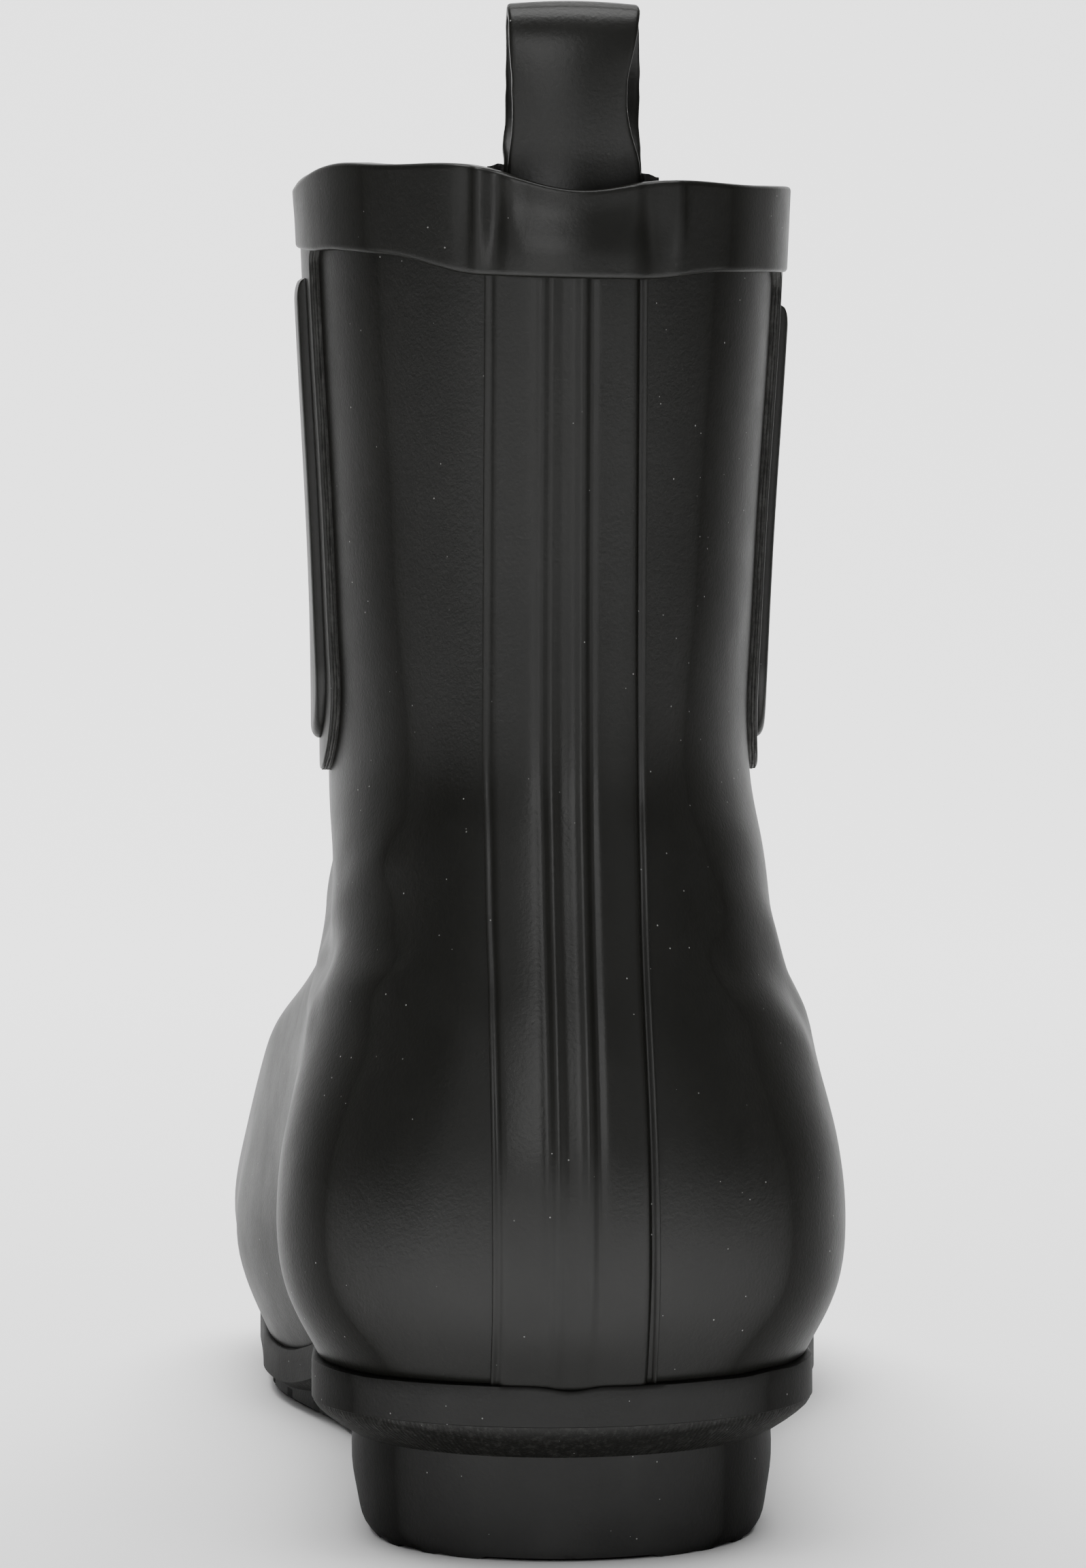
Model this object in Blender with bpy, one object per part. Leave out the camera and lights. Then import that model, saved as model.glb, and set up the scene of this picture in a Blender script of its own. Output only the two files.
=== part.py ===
"""Rubber pull-on ankle boot for the right foot. Metres, +Z up, toe towards +Y, outer side at +X."""

import math
from collections import namedtuple

import bmesh
import bpy
import numpy as np

# Sole sizes
OUTSOLE_LENGTH = 0.280
SOLE_HEEL_WIDTH = 0.0697
SOLE_WAIST_WIDTH = 0.066
SOLE_BALL_WIDTH = 0.091
SOLE_REAR_ROUND = 0.036
SOLE_TOE_ROUND = 0.074
HEEL_RISE = 0.0110
TOE_SPRING = 0.010
FOXING_HEIGHT = 0.005
BEVEL_HEIGHT = 0.0056
BEVEL_INSET = 0.0054
FRONT_BEVEL_HEIGHT = 0.0015
FRONT_BEVEL_INSET = 0.0015
UPRIGHT_SHARE = 0.12
TREAD_INSET_SHARE = 1.06
FOOT_INSET_SHARE = 1.90
LUG_HEIGHT = 0.0025
HEEL_BLOCK_LENGTH = 0.074
TREAD_START = 0.124
TREAD_CHAMFER = 0.0009
GROOVE_WIDTH = 0.0034
GROOVE_PITCH = 0.0155
GROOVE_SLANT_DEG = 12
GROOVE_START_SHARE = 0.2
GROOVE_DEPTH = 0.0022
CHANNEL_DEPTH = 0.0021
CHANNEL_END = 0.260
HEEL_GROOVE_DEPTH = 0.0030
HEEL_GROOVE_PLACES = (0.0237, 0.0407, 0.0577)

# Upper sizes
WALL = 0.0022
UPPER_HEEL_WIDTH = 0.0788
UPPER_WAIST_WIDTH = 0.077
UPPER_BALL_WIDTH = 0.0992
ANKLE_WIDTH = 0.0604
ANKLE_HEIGHT = 0.105
COLLAR_WIDTH = 0.0666
COLLAR_DEPTH = 0.098
SHAFT_HEIGHT = 0.190
COLLAR_DIP = 0.006
LASTING_INSET = 0.0030
FOXING_LEDGE = 0.0010

# Trim sizes
BAND_HEIGHT = 0.0115
BAND_THICKNESS = 0.0016
GUSSET_TOP_WIDTH = 0.036
GUSSET_LOW_WIDTH = 0.031
GUSSET_TIP_HEIGHT = 0.1045
GUSSET_FORWARD = 0.0065
GUSSET_STRAIGHT_SHARE = 0.55
GUSSET_THICKNESS = 0.0012
PANEL_BORDER = 0.0045
PANEL_THICKNESS = 0.0009
PANEL_EDGE_THICKNESS = 0.0004
PANEL_FULLNESS = 6
STAY_WIDTH = 0.0212
STAY_THICKNESS = 0.0010
BEAD_HEIGHT = 0.0005
BEAD_FADE = 0.021
STAY_ROW_MARGIN = 0.002
LOOP_WIDTH = 0.0177
LOOP_THICKNESS = 0.0016
LOOP_OFFSET = 0.0012
LOOP_RISE = 0.0242
LOOP_OPENING = 0.0066
LOOP_DEPTH_INSIDE = 0.017
LOOP_LEG_SHARE = 1.05
LOOP_FLATTENING = 0.75
ANCHOR_WIDTH = 0.0232
ANCHOR_THICKNESS = 0.0012
ANCHOR_RISE = 0.0030
ANCHOR_DEPTH_INSIDE = 0.019
ANCHOR_SLOPE_SHARE = 0.4
INSOLE_THICKNESS = 0.003
INSOLE_CLEARANCE = 0.0006
GAP = 0.00035

# How finely the surfaces are divided
SIDE_STEPS = 24
UPPER_RINGS = 26
LOOP_STEPS = 27
BAND_RINGS = 3
ROUND_POWER = 2.3
TOE_SKEW = 0.12

# Stations along the foot, as shares of the outsole length
HEEL_STATION = 0.136
WAIST_STATION = 0.393
BALL_STATION = 0.661
FLAT_END = 0.75
RISE_START = 0.27
RISE_END = 0.60

# The foot's centre line, which swings outwards and back: shares of length, of ball width
AxisPoint = namedtuple("AxisPoint", "along outwards")
FOOT_AXIS = (
    AxisPoint(0.00, 0.000),
    AxisPoint(0.36, 0.055),
    AxisPoint(0.625, 0.100),
    AxisPoint(0.85, 0.103),
    AxisPoint(1.00, 0.082),
)

# Rings of the foot, from low to high. y, rear and nose are shares of the outsole length, z of the
# ankle height, narrowing of the way from heel width to ankle width, waist and ball of their widths.
# follow is how far a ring copies the sole's edge line, and sway how far it copies the foot's axis.
FootRow = namedtuple(
    "FootRow", "back_y back_z front_y front_z narrowing waist ball rear nose follow sway"
)
FOOT_ROWS = (
    FootRow(-0.0105, 0.324, 0.9965, 0.318, 0.07, 0.965, 1.000, 0.143, 0.270, 0.95, 1.00),
    FootRow(-0.0143, 0.457, 0.9840, 0.430, 0.00, 1.000, 0.970, 0.152, 0.280, 0.80, 0.95),
    FootRow(-0.0095, 0.571, 0.9260, 0.528, 0.24, 0.970, 0.905, 0.157, 0.290, 0.60, 0.90),
    FootRow(0.0000, 0.676, 0.8200, 0.594, 0.52, 0.910, 0.830, 0.162, 0.295, 0.40, 0.80),
    FootRow(0.0110, 0.771, 0.7020, 0.662, 0.77, 0.840, 0.750, 0.166, 0.290, 0.25, 0.66),
    FootRow(0.0200, 0.857, 0.5870, 0.757, 0.91, 0.790, 0.700, 0.168, 0.275, 0.10, 0.48),
    FootRow(0.0270, 0.933, 0.4950, 0.872, 0.985, 0.775, 0.680, 0.170, 0.245, 0.00, 0.27),
)

# Rings of the shaft. depth is a share of the collar depth, rise of the way from ankle to collar,
# flare of the way from ankle width to collar width.
ShaftRow = namedtuple("ShaftRow", "back_y depth rise flare sway")
SHAFT_ROWS = (
    ShaftRow(0.0314, 1.150, 0.00, 0.00, 0.08),
    ShaftRow(0.0332, 1.050, 0.20, 0.00, 0.00),
    ShaftRow(0.0307, 1.008, 0.45, 0.26, 0.00),
    ShaftRow(0.0257, 0.996, 0.73, 0.68, 0.00),
    ShaftRow(0.0214, 1.000, 1.00, 1.00, 0.00),
)
SHAFT_FRONT_FULLNESS = 0.97
COLLAR_SIDE_LIFT = 0.0014

# Across the back stay: shares of its half width, and of the bead height above the strip's face
StayPoint = namedtuple("StayPoint", "across height")
STAY_PROFILE = (
    StayPoint(-1.00, 0.0),
    StayPoint(-0.46, 0.0),
    StayPoint(-0.38, 0.5),
    StayPoint(-0.31, -0.5),
    StayPoint(-0.20, 1.0),
    StayPoint(-0.02, 0.2),
    StayPoint(0.18, 1.1),
    StayPoint(0.30, -0.5),
    StayPoint(0.37, 0.0),
    StayPoint(1.00, 0.0),
)

# The heel block's side, from its top to the floor: shares of its height, and of the bevel's inset at
# its sides and at its back, where it stays upright
HeelLevel = namedtuple("HeelLevel", "height inset back")
HEEL_PROFILE = (
    HeelLevel(1.10, 1.06, 0.90),
    HeelLevel(0.58, 1.06, 0.90),
    HeelLevel(0.40, 1.18, 0.92),
    HeelLevel(0.22, 1.28, 0.96),
    HeelLevel(0.10, 1.48, 1.02),
    HeelLevel(0.00, 1.80, 1.12),
)

# The pull loop's free part, from back leg over the top to front leg: y in shares of its opening,
# z of its rise above the anchor patch, and its width
LoopPoint = namedtuple("LoopPoint", "forward up width")
LOOP_PATH = (
    LoopPoint(-0.05, 0.15, 0.94),
    LoopPoint(-0.11, 0.38, 0.88),
    LoopPoint(-0.12, 0.62, 0.90),
    LoopPoint(-0.02, 0.84, 0.98),
    LoopPoint(0.24, 0.965, 1.00),
    LoopPoint(0.62, 1.00, 1.00),
    LoopPoint(1.00, 0.93, 1.02),
    LoopPoint(1.20, 0.74, 1.04),
    LoopPoint(1.16, 0.50, 1.05),
    LoopPoint(0.88, 0.27, 1.05),
    LoopPoint(0.55, 0.11, 1.05),
)

RUBBER_BLACK = (0.021, 0.021, 0.019, 1)
SOLE_BLACK = (0.017, 0.017, 0.016, 1)
LINING_GREY = (0.060, 0.060, 0.062, 1)

Ring = namedtuple(
    "Ring", "back_y back_z front_y front_z heel waist ball rear nose follow sway lift fullness"
)


class Spline:
    """A natural cubic curve through one value, or one row of values, at each knot."""

    def __init__(self, knots, values):
        self.knots = np.asarray(knots, float)
        self.values = np.asarray(values, float)
        count = len(self.knots)
        gaps = np.diff(self.knots)
        system = np.eye(count)
        right = np.zeros_like(self.values)
        for i in range(1, count - 1):
            system[i, i - 1 : i + 2] = gaps[i - 1], 2 * (gaps[i - 1] + gaps[i]), gaps[i]
            after = (self.values[i + 1] - self.values[i]) / gaps[i]
            before = (self.values[i] - self.values[i - 1]) / gaps[i - 1]
            right[i] = 6 * (after - before)
        self.bends = np.linalg.solve(system, right)

    def __call__(self, at):
        at = np.asarray(at, float)
        low = np.clip(np.searchsorted(self.knots, at) - 1, 0, len(self.knots) - 2)
        gap = self.knots[low + 1] - self.knots[low]
        share = (at - self.knots[low]) / gap
        if self.values.ndim > 1:
            gap, share = gap[..., None], share[..., None]
        rest = 1 - share
        line = rest * self.values[low] + share * self.values[low + 1]
        curve = (rest**3 - rest) * self.bends[low] + (share**3 - share) * self.bends[low + 1]
        return line + curve * gap**2 / 6


def smooth_step(share):
    share = np.clip(share, 0, 1)
    return share * share * (3 - 2 * share)


foot_axis = Spline(
    [point.along * OUTSOLE_LENGTH for point in FOOT_AXIS],
    [point.outwards * SOLE_BALL_WIDTH for point in FOOT_AXIS],
)


def tread_line(y):
    """Height of the tread's lowest face, which lifts off the floor at the toe."""
    start = FLAT_END * OUTSOLE_LENGTH
    share = np.clip((y - start) / (OUTSOLE_LENGTH - start), 0, 1.1)
    return TOE_SPRING * share**2


def heel_share(y):
    """1 over the heel, 0 over the forefoot, and between them where the arch comes down."""
    start, end = RISE_START * OUTSOLE_LENGTH, RISE_END * OUTSOLE_LENGTH
    return 1 - smooth_step((y - start) / (end - start))


def bevel_height(y):
    return FRONT_BEVEL_HEIGHT + (BEVEL_HEIGHT - FRONT_BEVEL_HEIGHT) * heel_share(y)


def edge_line(y):
    """Height of the foxing's top edge."""
    below = LUG_HEIGHT + HEEL_RISE * heel_share(y) + bevel_height(y)
    return tread_line(y) + below + FOXING_HEIGHT


def flange_line(y):
    """Height of the outsole's top face, on which foxing and upper stand."""
    return edge_line(y) - FOXING_HEIGHT


def base_line(y):
    """Height of the outsole's underside between its lugs."""
    return flange_line(y) - bevel_height(y)


def sole_ring(inset, below_edge=0.0, back_inset=None, front_inset=None):
    """The sole's outline, moved inwards, at one depth below the foxing's top edge.
    With back_inset its back is moved less than its sides, and so is rounded more tightly.
    With front_inset the forefoot is moved by another distance than the heel."""
    back = inset if back_inset is None else back_inset
    ahead = inset if front_inset is None else front_inset
    front = OUTSOLE_LENGTH - ahead
    return Ring(
        back_y=back,
        back_z=float(edge_line(back)) - below_edge,
        front_y=front,
        front_z=float(edge_line(front)) - below_edge,
        heel=SOLE_HEEL_WIDTH / 2 - inset,
        waist=SOLE_WAIST_WIDTH / 2 - (inset + ahead) / 2,
        ball=SOLE_BALL_WIDTH / 2 - ahead,
        rear=SOLE_REAR_ROUND - 2 * (inset - back),
        nose=SOLE_TOE_ROUND,
        follow=1.0,
        sway=1.0,
        lift=0.0,
        fullness=ROUND_POWER,
    )


def foot_ring(row):
    heel_half = UPPER_HEEL_WIDTH / 2 - (UPPER_HEEL_WIDTH - ANKLE_WIDTH) / 2 * row.narrowing
    return Ring(
        back_y=row.back_y * OUTSOLE_LENGTH,
        back_z=row.back_z * ANKLE_HEIGHT,
        front_y=row.front_y * OUTSOLE_LENGTH,
        front_z=row.front_z * ANKLE_HEIGHT,
        heel=heel_half,
        waist=row.waist * UPPER_WAIST_WIDTH / 2,
        ball=row.ball * UPPER_BALL_WIDTH / 2,
        rear=row.rear * OUTSOLE_LENGTH,
        nose=row.nose * OUTSOLE_LENGTH,
        follow=row.follow,
        sway=row.sway,
        lift=0.0,
        fullness=ROUND_POWER,
    )


def shaft_ring(row):
    half = (ANKLE_WIDTH + (COLLAR_WIDTH - ANKLE_WIDTH) * row.flare) / 2
    depth = row.depth * COLLAR_DEPTH
    climb = row.rise * (SHAFT_HEIGHT - ANKLE_HEIGHT)
    return Ring(
        back_y=row.back_y * OUTSOLE_LENGTH,
        back_z=ANKLE_HEIGHT + climb - COLLAR_DIP * row.rise,
        front_y=row.back_y * OUTSOLE_LENGTH + depth,
        front_z=ANKLE_HEIGHT + climb,
        heel=half,
        waist=half * SHAFT_FRONT_FULLNESS,
        ball=half * SHAFT_FRONT_FULLNESS,
        rear=depth / 2,
        nose=depth / 2,
        follow=0.0,
        sway=row.sway,
        lift=COLLAR_SIDE_LIFT * row.rise,
        fullness=2.0,
    )


def upper_rings():
    rings = [sole_ring(LASTING_INSET, FOXING_HEIGHT - GAP), sole_ring(FOXING_LEDGE)]
    rings += [foot_ring(row) for row in FOOT_ROWS]
    rings += [shaft_ring(row) for row in SHAFT_ROWS]
    return rings


def ring_spline():
    """Each measure of the upper's rings as a smooth curve, from 0 at its bottom edge to 1 at the top."""
    rings = upper_rings()
    knots = [0.0]
    for low, high in zip(rings, rings[1:]):
        back = math.hypot(high.back_y - low.back_y, high.back_z - low.back_z)
        front = math.hypot(high.front_y - low.front_y, high.front_z - low.front_z)
        knots.append(knots[-1] + (back + front) / 2)
    knots = np.array(knots) / knots[-1]
    return Spline(knots, rings), knots


upper_spline, upper_knots = ring_spline()
FOXING_LEVEL = upper_knots[1]


def half_width(ring, y, side):
    """Distance from the centre line to the ring, at y, on the outer (+1) or inner (-1) side."""
    heel_y, waist_y, ball_y = (
        station * OUTSOLE_LENGTH for station in (HEEL_STATION, WAIST_STATION, BALL_STATION)
    )
    to_waist = smooth_step((y - heel_y) / (waist_y - heel_y))
    to_ball = smooth_step((y - waist_y) / (ball_y - waist_y))
    width = ring.heel + (ring.waist - ring.heel) * to_waist + (ring.ball - ring.waist) * to_ball
    skewed = ring.nose * (1 + side * TOE_SKEW * ring.sway)
    rear = 1 - np.clip((y - ring.back_y) / ring.rear, 0, 1)
    nose = 1 - np.clip((ring.front_y - y) / skewed, 0, 1)
    rounded = np.sqrt(1 - rear**2) * (1 - nose**ring.fullness) ** (1 / ring.fullness)
    return width * rounded


def ring_height(ring, y):
    share = (y - ring.back_y) / (ring.front_y - ring.back_y)
    low, high = edge_line(ring.back_y), edge_line(ring.front_y)
    from_edge = edge_line(y) - (low + (high - low) * share)
    line = ring.back_z + (ring.front_z - ring.back_z) * share
    return line + ring.follow * from_edge + ring.lift * 4 * share * (1 - share)


def on_ring(ring, angle):
    """Points of a ring: angle 0 at the back, pi at the front, positive on the outer side."""
    share = (1 - np.cos(angle)) / 2
    y = ring.back_y + (ring.front_y - ring.back_y) * share
    side = np.where(np.sin(angle) < 0, -1, 1)
    x = foot_axis(y) * ring.sway + side * half_width(ring, y, side)
    return np.stack([x, y, ring_height(ring, y)], -1)


def ring_at(level):
    return Ring(*np.moveaxis(upper_spline(level), -1, 0))


def upper_point(level, angle):
    return on_ring(ring_at(level), angle)


def upper_shell(level, angle, offset):
    """Points at a distance outside the upper's outer face, or inside it where offset is negative."""
    level, angle = np.broadcast_arrays(np.asarray(level, float), np.asarray(angle, float))
    step = 1e-4
    low, high = np.clip(level - step, 0, 1), np.clip(level + step, 0, 1)
    up = upper_point(high, angle) - upper_point(low, angle)
    around = upper_point(level, angle + step) - upper_point(level, angle - step)
    normal = np.cross(around, up)
    normal /= np.linalg.norm(normal, axis=-1, keepdims=True)
    return upper_point(level, angle) + normal * np.asarray(offset, float)[..., None]


def level_where(height, angle_of, target):
    """The level at which height(level, angle_of(level)) reaches the target, by halving."""
    low, high = np.zeros_like(target), np.ones_like(target)
    for _ in range(24):
        middle = (low + high) / 2
        below = height(middle, angle_of(middle)) < target
        low = np.where(below, middle, low)
        high = np.where(below, high, middle)
    return (low + high) / 2


def height_at(level, angle):
    return upper_point(level, angle)[..., 2]


def at_side(y, z, side, offset):
    """A point over the upper's side, given where it lies in the side view."""
    y, z = np.broadcast_arrays(np.asarray(y, float), np.asarray(z, float))

    def angle_of(level):
        ring = ring_at(level)
        share = np.clip((y - ring.back_y) / (ring.front_y - ring.back_y), 0, 1)
        return side * np.arccos(1 - 2 * share)

    level = level_where(height_at, angle_of, z)
    return upper_shell(level, angle_of(level), offset)


def back_angle(x, level):
    """The angle at which the ring at a level passes x, near its back."""
    low, high = np.full_like(x, -1.2), np.full_like(x, 1.2)
    for _ in range(24):
        middle = (low + high) / 2
        left = upper_point(level, middle)[..., 0] < x
        low = np.where(left, middle, low)
        high = np.where(left, high, middle)
    return (low + high) / 2


def at_back(x, z, offset):
    """A point over the upper's back, given where it lies in the back view."""
    x, z = np.broadcast_arrays(np.asarray(x, float), np.asarray(z, float))
    level = level_where(height_at, lambda level: back_angle(x, level), z)
    return upper_shell(level, back_angle(x, level), offset)


BACK_TOP = upper_rings()[-1].back_z
BAND_LEVEL = float(
    level_where(height_at, lambda level: 0 * level, np.array(BACK_TOP - BAND_HEIGHT))
)


def all_round():
    """Angles round a ring, evenly over both sides."""
    return np.linspace(-math.pi, math.pi, 2 * SIDE_STEPS, endpoint=False)


def material(name, colour, roughness):
    made = bpy.data.materials.new(name)
    made.use_nodes = True
    shader = made.node_tree.nodes["Principled BSDF"]
    shader.inputs["Base Color"].default_value = colour
    shader.inputs["Roughness"].default_value = roughness
    shader.inputs["Metallic"].default_value = 0.0
    made.diffuse_color = colour
    return made


def solid(name, points, faces, finish):
    """An object from points and faces, with coincident points joined and faces turned outwards."""
    mesh = bpy.data.meshes.new(name)
    body = bmesh.new()
    corners = [body.verts.new(point) for point in points]
    for face in faces:
        body.faces.new([corners[i] for i in face])
    bmesh.ops.remove_doubles(body, verts=body.verts, dist=2e-6)
    bmesh.ops.dissolve_degenerate(body, edges=body.edges, dist=1e-6)
    bmesh.ops.recalc_face_normals(body, faces=body.faces)
    body.to_mesh(mesh)
    body.free()
    mesh.materials.append(finish)
    mesh.shade_smooth()
    mesh.set_sharp_from_angle(angle=math.radians(35))
    made = bpy.data.objects.new(name, mesh)
    bpy.context.scene.collection.objects.link(made)
    return made


def slab(name, layers, finish, closed_round):
    """A solid between grids of points laid one over another, open rims bridged layer by layer.
    layers is an array: layer, row, column, xyz. With closed_round the columns run all the way round."""
    layers = np.asarray(layers)
    depth, rows, columns, _ = layers.shape
    order = np.arange(depth * rows * columns).reshape(depth, rows, columns)
    spans = range(columns) if closed_round else range(columns - 1)
    faces = []

    def strip(first, second):
        for i in range(len(first) - 1):
            faces.append((first[i], first[i + 1], second[i + 1], second[i]))

    for layer in (order[0], order[-1]):
        for r in range(rows - 1):
            for c in spans:
                after = (c + 1) % columns
                faces.append((layer[r, c], layer[r, after], layer[r + 1, after], layer[r + 1, c]))
    for low, high in zip(order, order[1:]):
        for r in (0, rows - 1):
            around = list(range(columns)) + ([0] if closed_round else [])
            strip(low[r, around], high[r, around])
        if not closed_round:
            for c in (0, columns - 1):
                strip(low[:, c], high[:, c])
    return solid(name, layers.reshape(-1, 3), faces, finish)


def block(name, sections, finish):
    """A solid lofted through closed cross-sections, each an equal number of points."""
    sections = np.asarray(sections)
    count, points, _ = sections.shape
    order = np.arange(count * points).reshape(count, points)
    faces = [tuple(order[0]), tuple(order[-1])]
    for low, high in zip(order, order[1:]):
        for i in range(points):
            after = (i + 1) % points
            faces.append((low[i], low[after], high[after], high[i]))
    return solid(name, sections.reshape(-1, 3), faces, finish)


def sole_block(name, levels, finish, start=None, end=None):
    """A solid bounded by the sole's outline at each level, whole or from y start to y end.
    A level is (inset, inset at the back or None, at the forefoot or None, height function)."""
    shares = np.linspace(0, 1, SIDE_STEPS + 1)
    if start is None:
        spread = (1 - np.cos(shares * math.pi)) / 2 if end is None else 1 - np.cos(shares * math.pi / 2)
    else:
        spread = np.sin(shares * math.pi / 2)
    outer, inner = [], []
    for inset, back_inset, front_inset, height in levels:
        ring = sole_ring(inset, back_inset=back_inset, front_inset=front_inset)
        first = ring.back_y if start is None else start
        last = ring.front_y if end is None else end
        y = first + (last - first) * spread
        centre = foot_axis(y)
        outer.append(np.stack([centre + half_width(ring, y, 1), y, height(y)], -1))
        inner.append(np.stack([centre - half_width(ring, y, -1), y, height(y)], -1))
    return block(name, np.stack(outer + inner[::-1], 1), finish)


def upper_levels():
    """The levels of the upper's rings: its bottom edge, the foxing's top, then evenly to the collar."""
    return np.concatenate([[0.0], np.linspace(FOXING_LEVEL, 1, UPPER_RINGS - 1)])


def make_upper(finish):
    level, angle = np.meshgrid(upper_levels(), all_round(), indexing="ij")
    layers = [upper_shell(level, angle, 0), upper_shell(level, angle, -WALL)]
    return slab("upper", layers, finish, True)


def make_foxing(finish):
    """The strip round the lower edge: a flat side, a slanted top, and an inner face along the upper."""
    angle = all_round()
    inside = [upper_shell(share * FOXING_LEVEL, angle, GAP) for share in (0.0, 0.5, 1.0)]
    inside[0][:, 2] = flange_line(inside[0][:, 1]) + GAP
    side = [
        on_ring(sole_ring(0.0, below), angle)
        for below in (FOXING_HEIGHT - GAP, UPRIGHT_SHARE * FOXING_HEIGHT)
    ]
    sections = np.stack([side[0], side[1], inside[2], inside[1], inside[0]], 1)
    return block_round("foxing", sections, finish)


def block_round(name, sections, finish):
    """A solid swept all the way round through closed cross-sections."""
    count, points, _ = sections.shape
    order = np.arange(count * points).reshape(count, points)
    faces = []
    for low, high in zip(order, np.roll(order, -1, axis=0)):
        for i in range(points):
            after = (i + 1) % points
            faces.append((low[i], low[after], high[after], high[i]))
    return solid(name, sections.reshape(-1, 3), faces, finish)


def prism(profile, centre, width, turn):
    """Points and faces of an upright profile in XZ, given a width along Y and turned about Z."""
    c, s = math.cos(turn), math.sin(turn)
    points = []
    for across in (-width / 2, width / 2):
        for x, z in profile:
            points.append((centre[0] + x * c - across * s, centre[1] + x * s + across * c, z))
    count = len(profile)
    faces = [tuple(range(count)), tuple(range(count, 2 * count))]
    for i in range(count):
        after = (i + 1) % count
        faces.append((i, after, count + after, count + i))
    return points, faces


def cutter(name, prisms, finish):
    points, faces = [], []
    for some_points, some_faces in prisms:
        start = len(points)
        points += some_points
        faces += [tuple(start + i for i in face) for face in some_faces]
    made = solid(name, points, faces, finish)
    made.hide_render = True
    made.display_type = "WIRE"
    return made


def subtract(target, tool):
    cut = target.modifiers.new(tool.name, "BOOLEAN")
    cut.operation = "DIFFERENCE"
    cut.solver = "EXACT"
    cut.object = tool


def add(target, tool):
    union = target.modifiers.new(tool.name, "BOOLEAN")
    union.operation = "UNION"
    union.solver = "EXACT"
    union.object = tool
    tool.hide_render = True
    tool.display_type = "WIRE"


def groove_profile(side, y):
    """A lug gap's profile on one side, from near the foot's axis to beyond the edge."""
    floor = float(tread_line(y))
    start, reach = side * GROOVE_START_SHARE * GROOVE_WIDTH, side * SOLE_BALL_WIDTH
    below, above = floor - LUG_HEIGHT, floor + GROOVE_DEPTH
    return [(start, below), (reach, below), (reach, above), (start, above)]


def make_outsole(finish):
    plate = sole_block(
        "outsole",
        [
            (GAP, None, None, flange_line),
            (GAP, None, None, lambda y: flange_line(y) - UPRIGHT_SHARE * bevel_height(y)),
            (BEVEL_INSET, None, FRONT_BEVEL_INSET, base_line),
            (BEVEL_INSET * 1.5, None, FRONT_BEVEL_INSET * 1.5, base_line),
        ],
        finish,
    )
    block_height = LUG_HEIGHT + HEEL_RISE
    heel = sole_block(
        "heel_block",
        [
            (
                BEVEL_INSET * row.inset,
                BEVEL_INSET * row.back,
                None,
                lambda y, row=row: block_height * row.height + 0 * y,
            )
            for row in HEEL_PROFILE
        ],
        finish,
        end=HEEL_BLOCK_LENGTH,
    )
    side = BEVEL_INSET * TREAD_INSET_SHARE, None, FRONT_BEVEL_INSET * TREAD_INSET_SHARE
    foot = BEVEL_INSET * FOOT_INSET_SHARE, None, FRONT_BEVEL_INSET * FOOT_INSET_SHARE
    pad = sole_block(
        "forefoot_pad",
        [
            (*side, lambda y: (flange_line(y) + base_line(y)) / 2),
            (*side, lambda y: tread_line(y) + TREAD_CHAMFER),
            (*foot, tread_line),
        ],
        finish,
        start=TREAD_START,
    )
    slant = math.radians(GROOVE_SLANT_DEG)
    gaps = []
    y = TREAD_START + GROOVE_PITCH
    while y < OUTSOLE_LENGTH - 1.2 * GROOVE_PITCH:
        for turn in (-1, 1):
            place = (float(foot_axis(y)), y)
            gaps.append(prism(groove_profile(turn, y), place, GROOVE_WIDTH, turn * slant))
        y += GROOVE_PITCH
    lug_gaps = cutter("lug_gaps", gaps, finish)
    channel = make_channel(finish)
    heel_gaps = make_heel_gaps(finish)
    add(plate, heel)
    add(plate, pad)
    subtract(plate, lug_gaps)
    subtract(plate, channel)
    subtract(plate, heel_gaps)
    return plate


def make_channel(finish):
    """A groove along the middle of the forefoot tread, following the foot's axis and toe spring."""
    stations = np.linspace(TREAD_START - GROOVE_WIDTH, CHANNEL_END, 12)
    sections = []
    for y in stations:
        centre, floor = float(foot_axis(y)), float(tread_line(y))
        left, right = centre - GROOVE_WIDTH / 2, centre + GROOVE_WIDTH / 2
        low, high = floor - LUG_HEIGHT, floor + CHANNEL_DEPTH
        sections.append([(left, y, low), (right, y, low), (right, y, high), (left, y, high)])
    made = block("tread_channel", sections, finish)
    made.hide_render = True
    made.display_type = "WIRE"
    return made


def make_heel_gaps(finish):
    """Cross grooves under the heel block."""
    reach = SOLE_HEEL_WIDTH
    across = [(-reach, -LUG_HEIGHT), (reach, -LUG_HEIGHT)]
    across += [(reach, HEEL_GROOVE_DEPTH), (-reach, HEEL_GROOVE_DEPTH)]
    prisms = [prism(across, (0, y), GROOVE_WIDTH, 0) for y in HEEL_GROOVE_PLACES]
    return cutter("heel_gaps", prisms, finish)


def make_insole(finish):
    inset = LASTING_INSET + WALL + INSOLE_CLEARANCE
    levels = [
        (inset, None, None, lambda y: flange_line(y) + GAP + INSOLE_THICKNESS),
        (inset, None, None, lambda y: flange_line(y) + GAP),
    ]
    return sole_block("insole", levels, finish)


def make_collar_band(finish):
    level, angle = np.meshgrid(np.linspace(BAND_LEVEL, 1, BAND_RINGS), all_round(), indexing="ij")
    layers = [upper_shell(level, angle, GAP), upper_shell(level, angle, GAP + BAND_THICKNESS)]
    return slab("collar_band", layers, finish, True)


def band_bottom(y):
    """Height of the collar band's lower edge over the side, at y."""
    ring = ring_at(np.array(BAND_LEVEL))
    return ring_height(ring, y)


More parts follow.
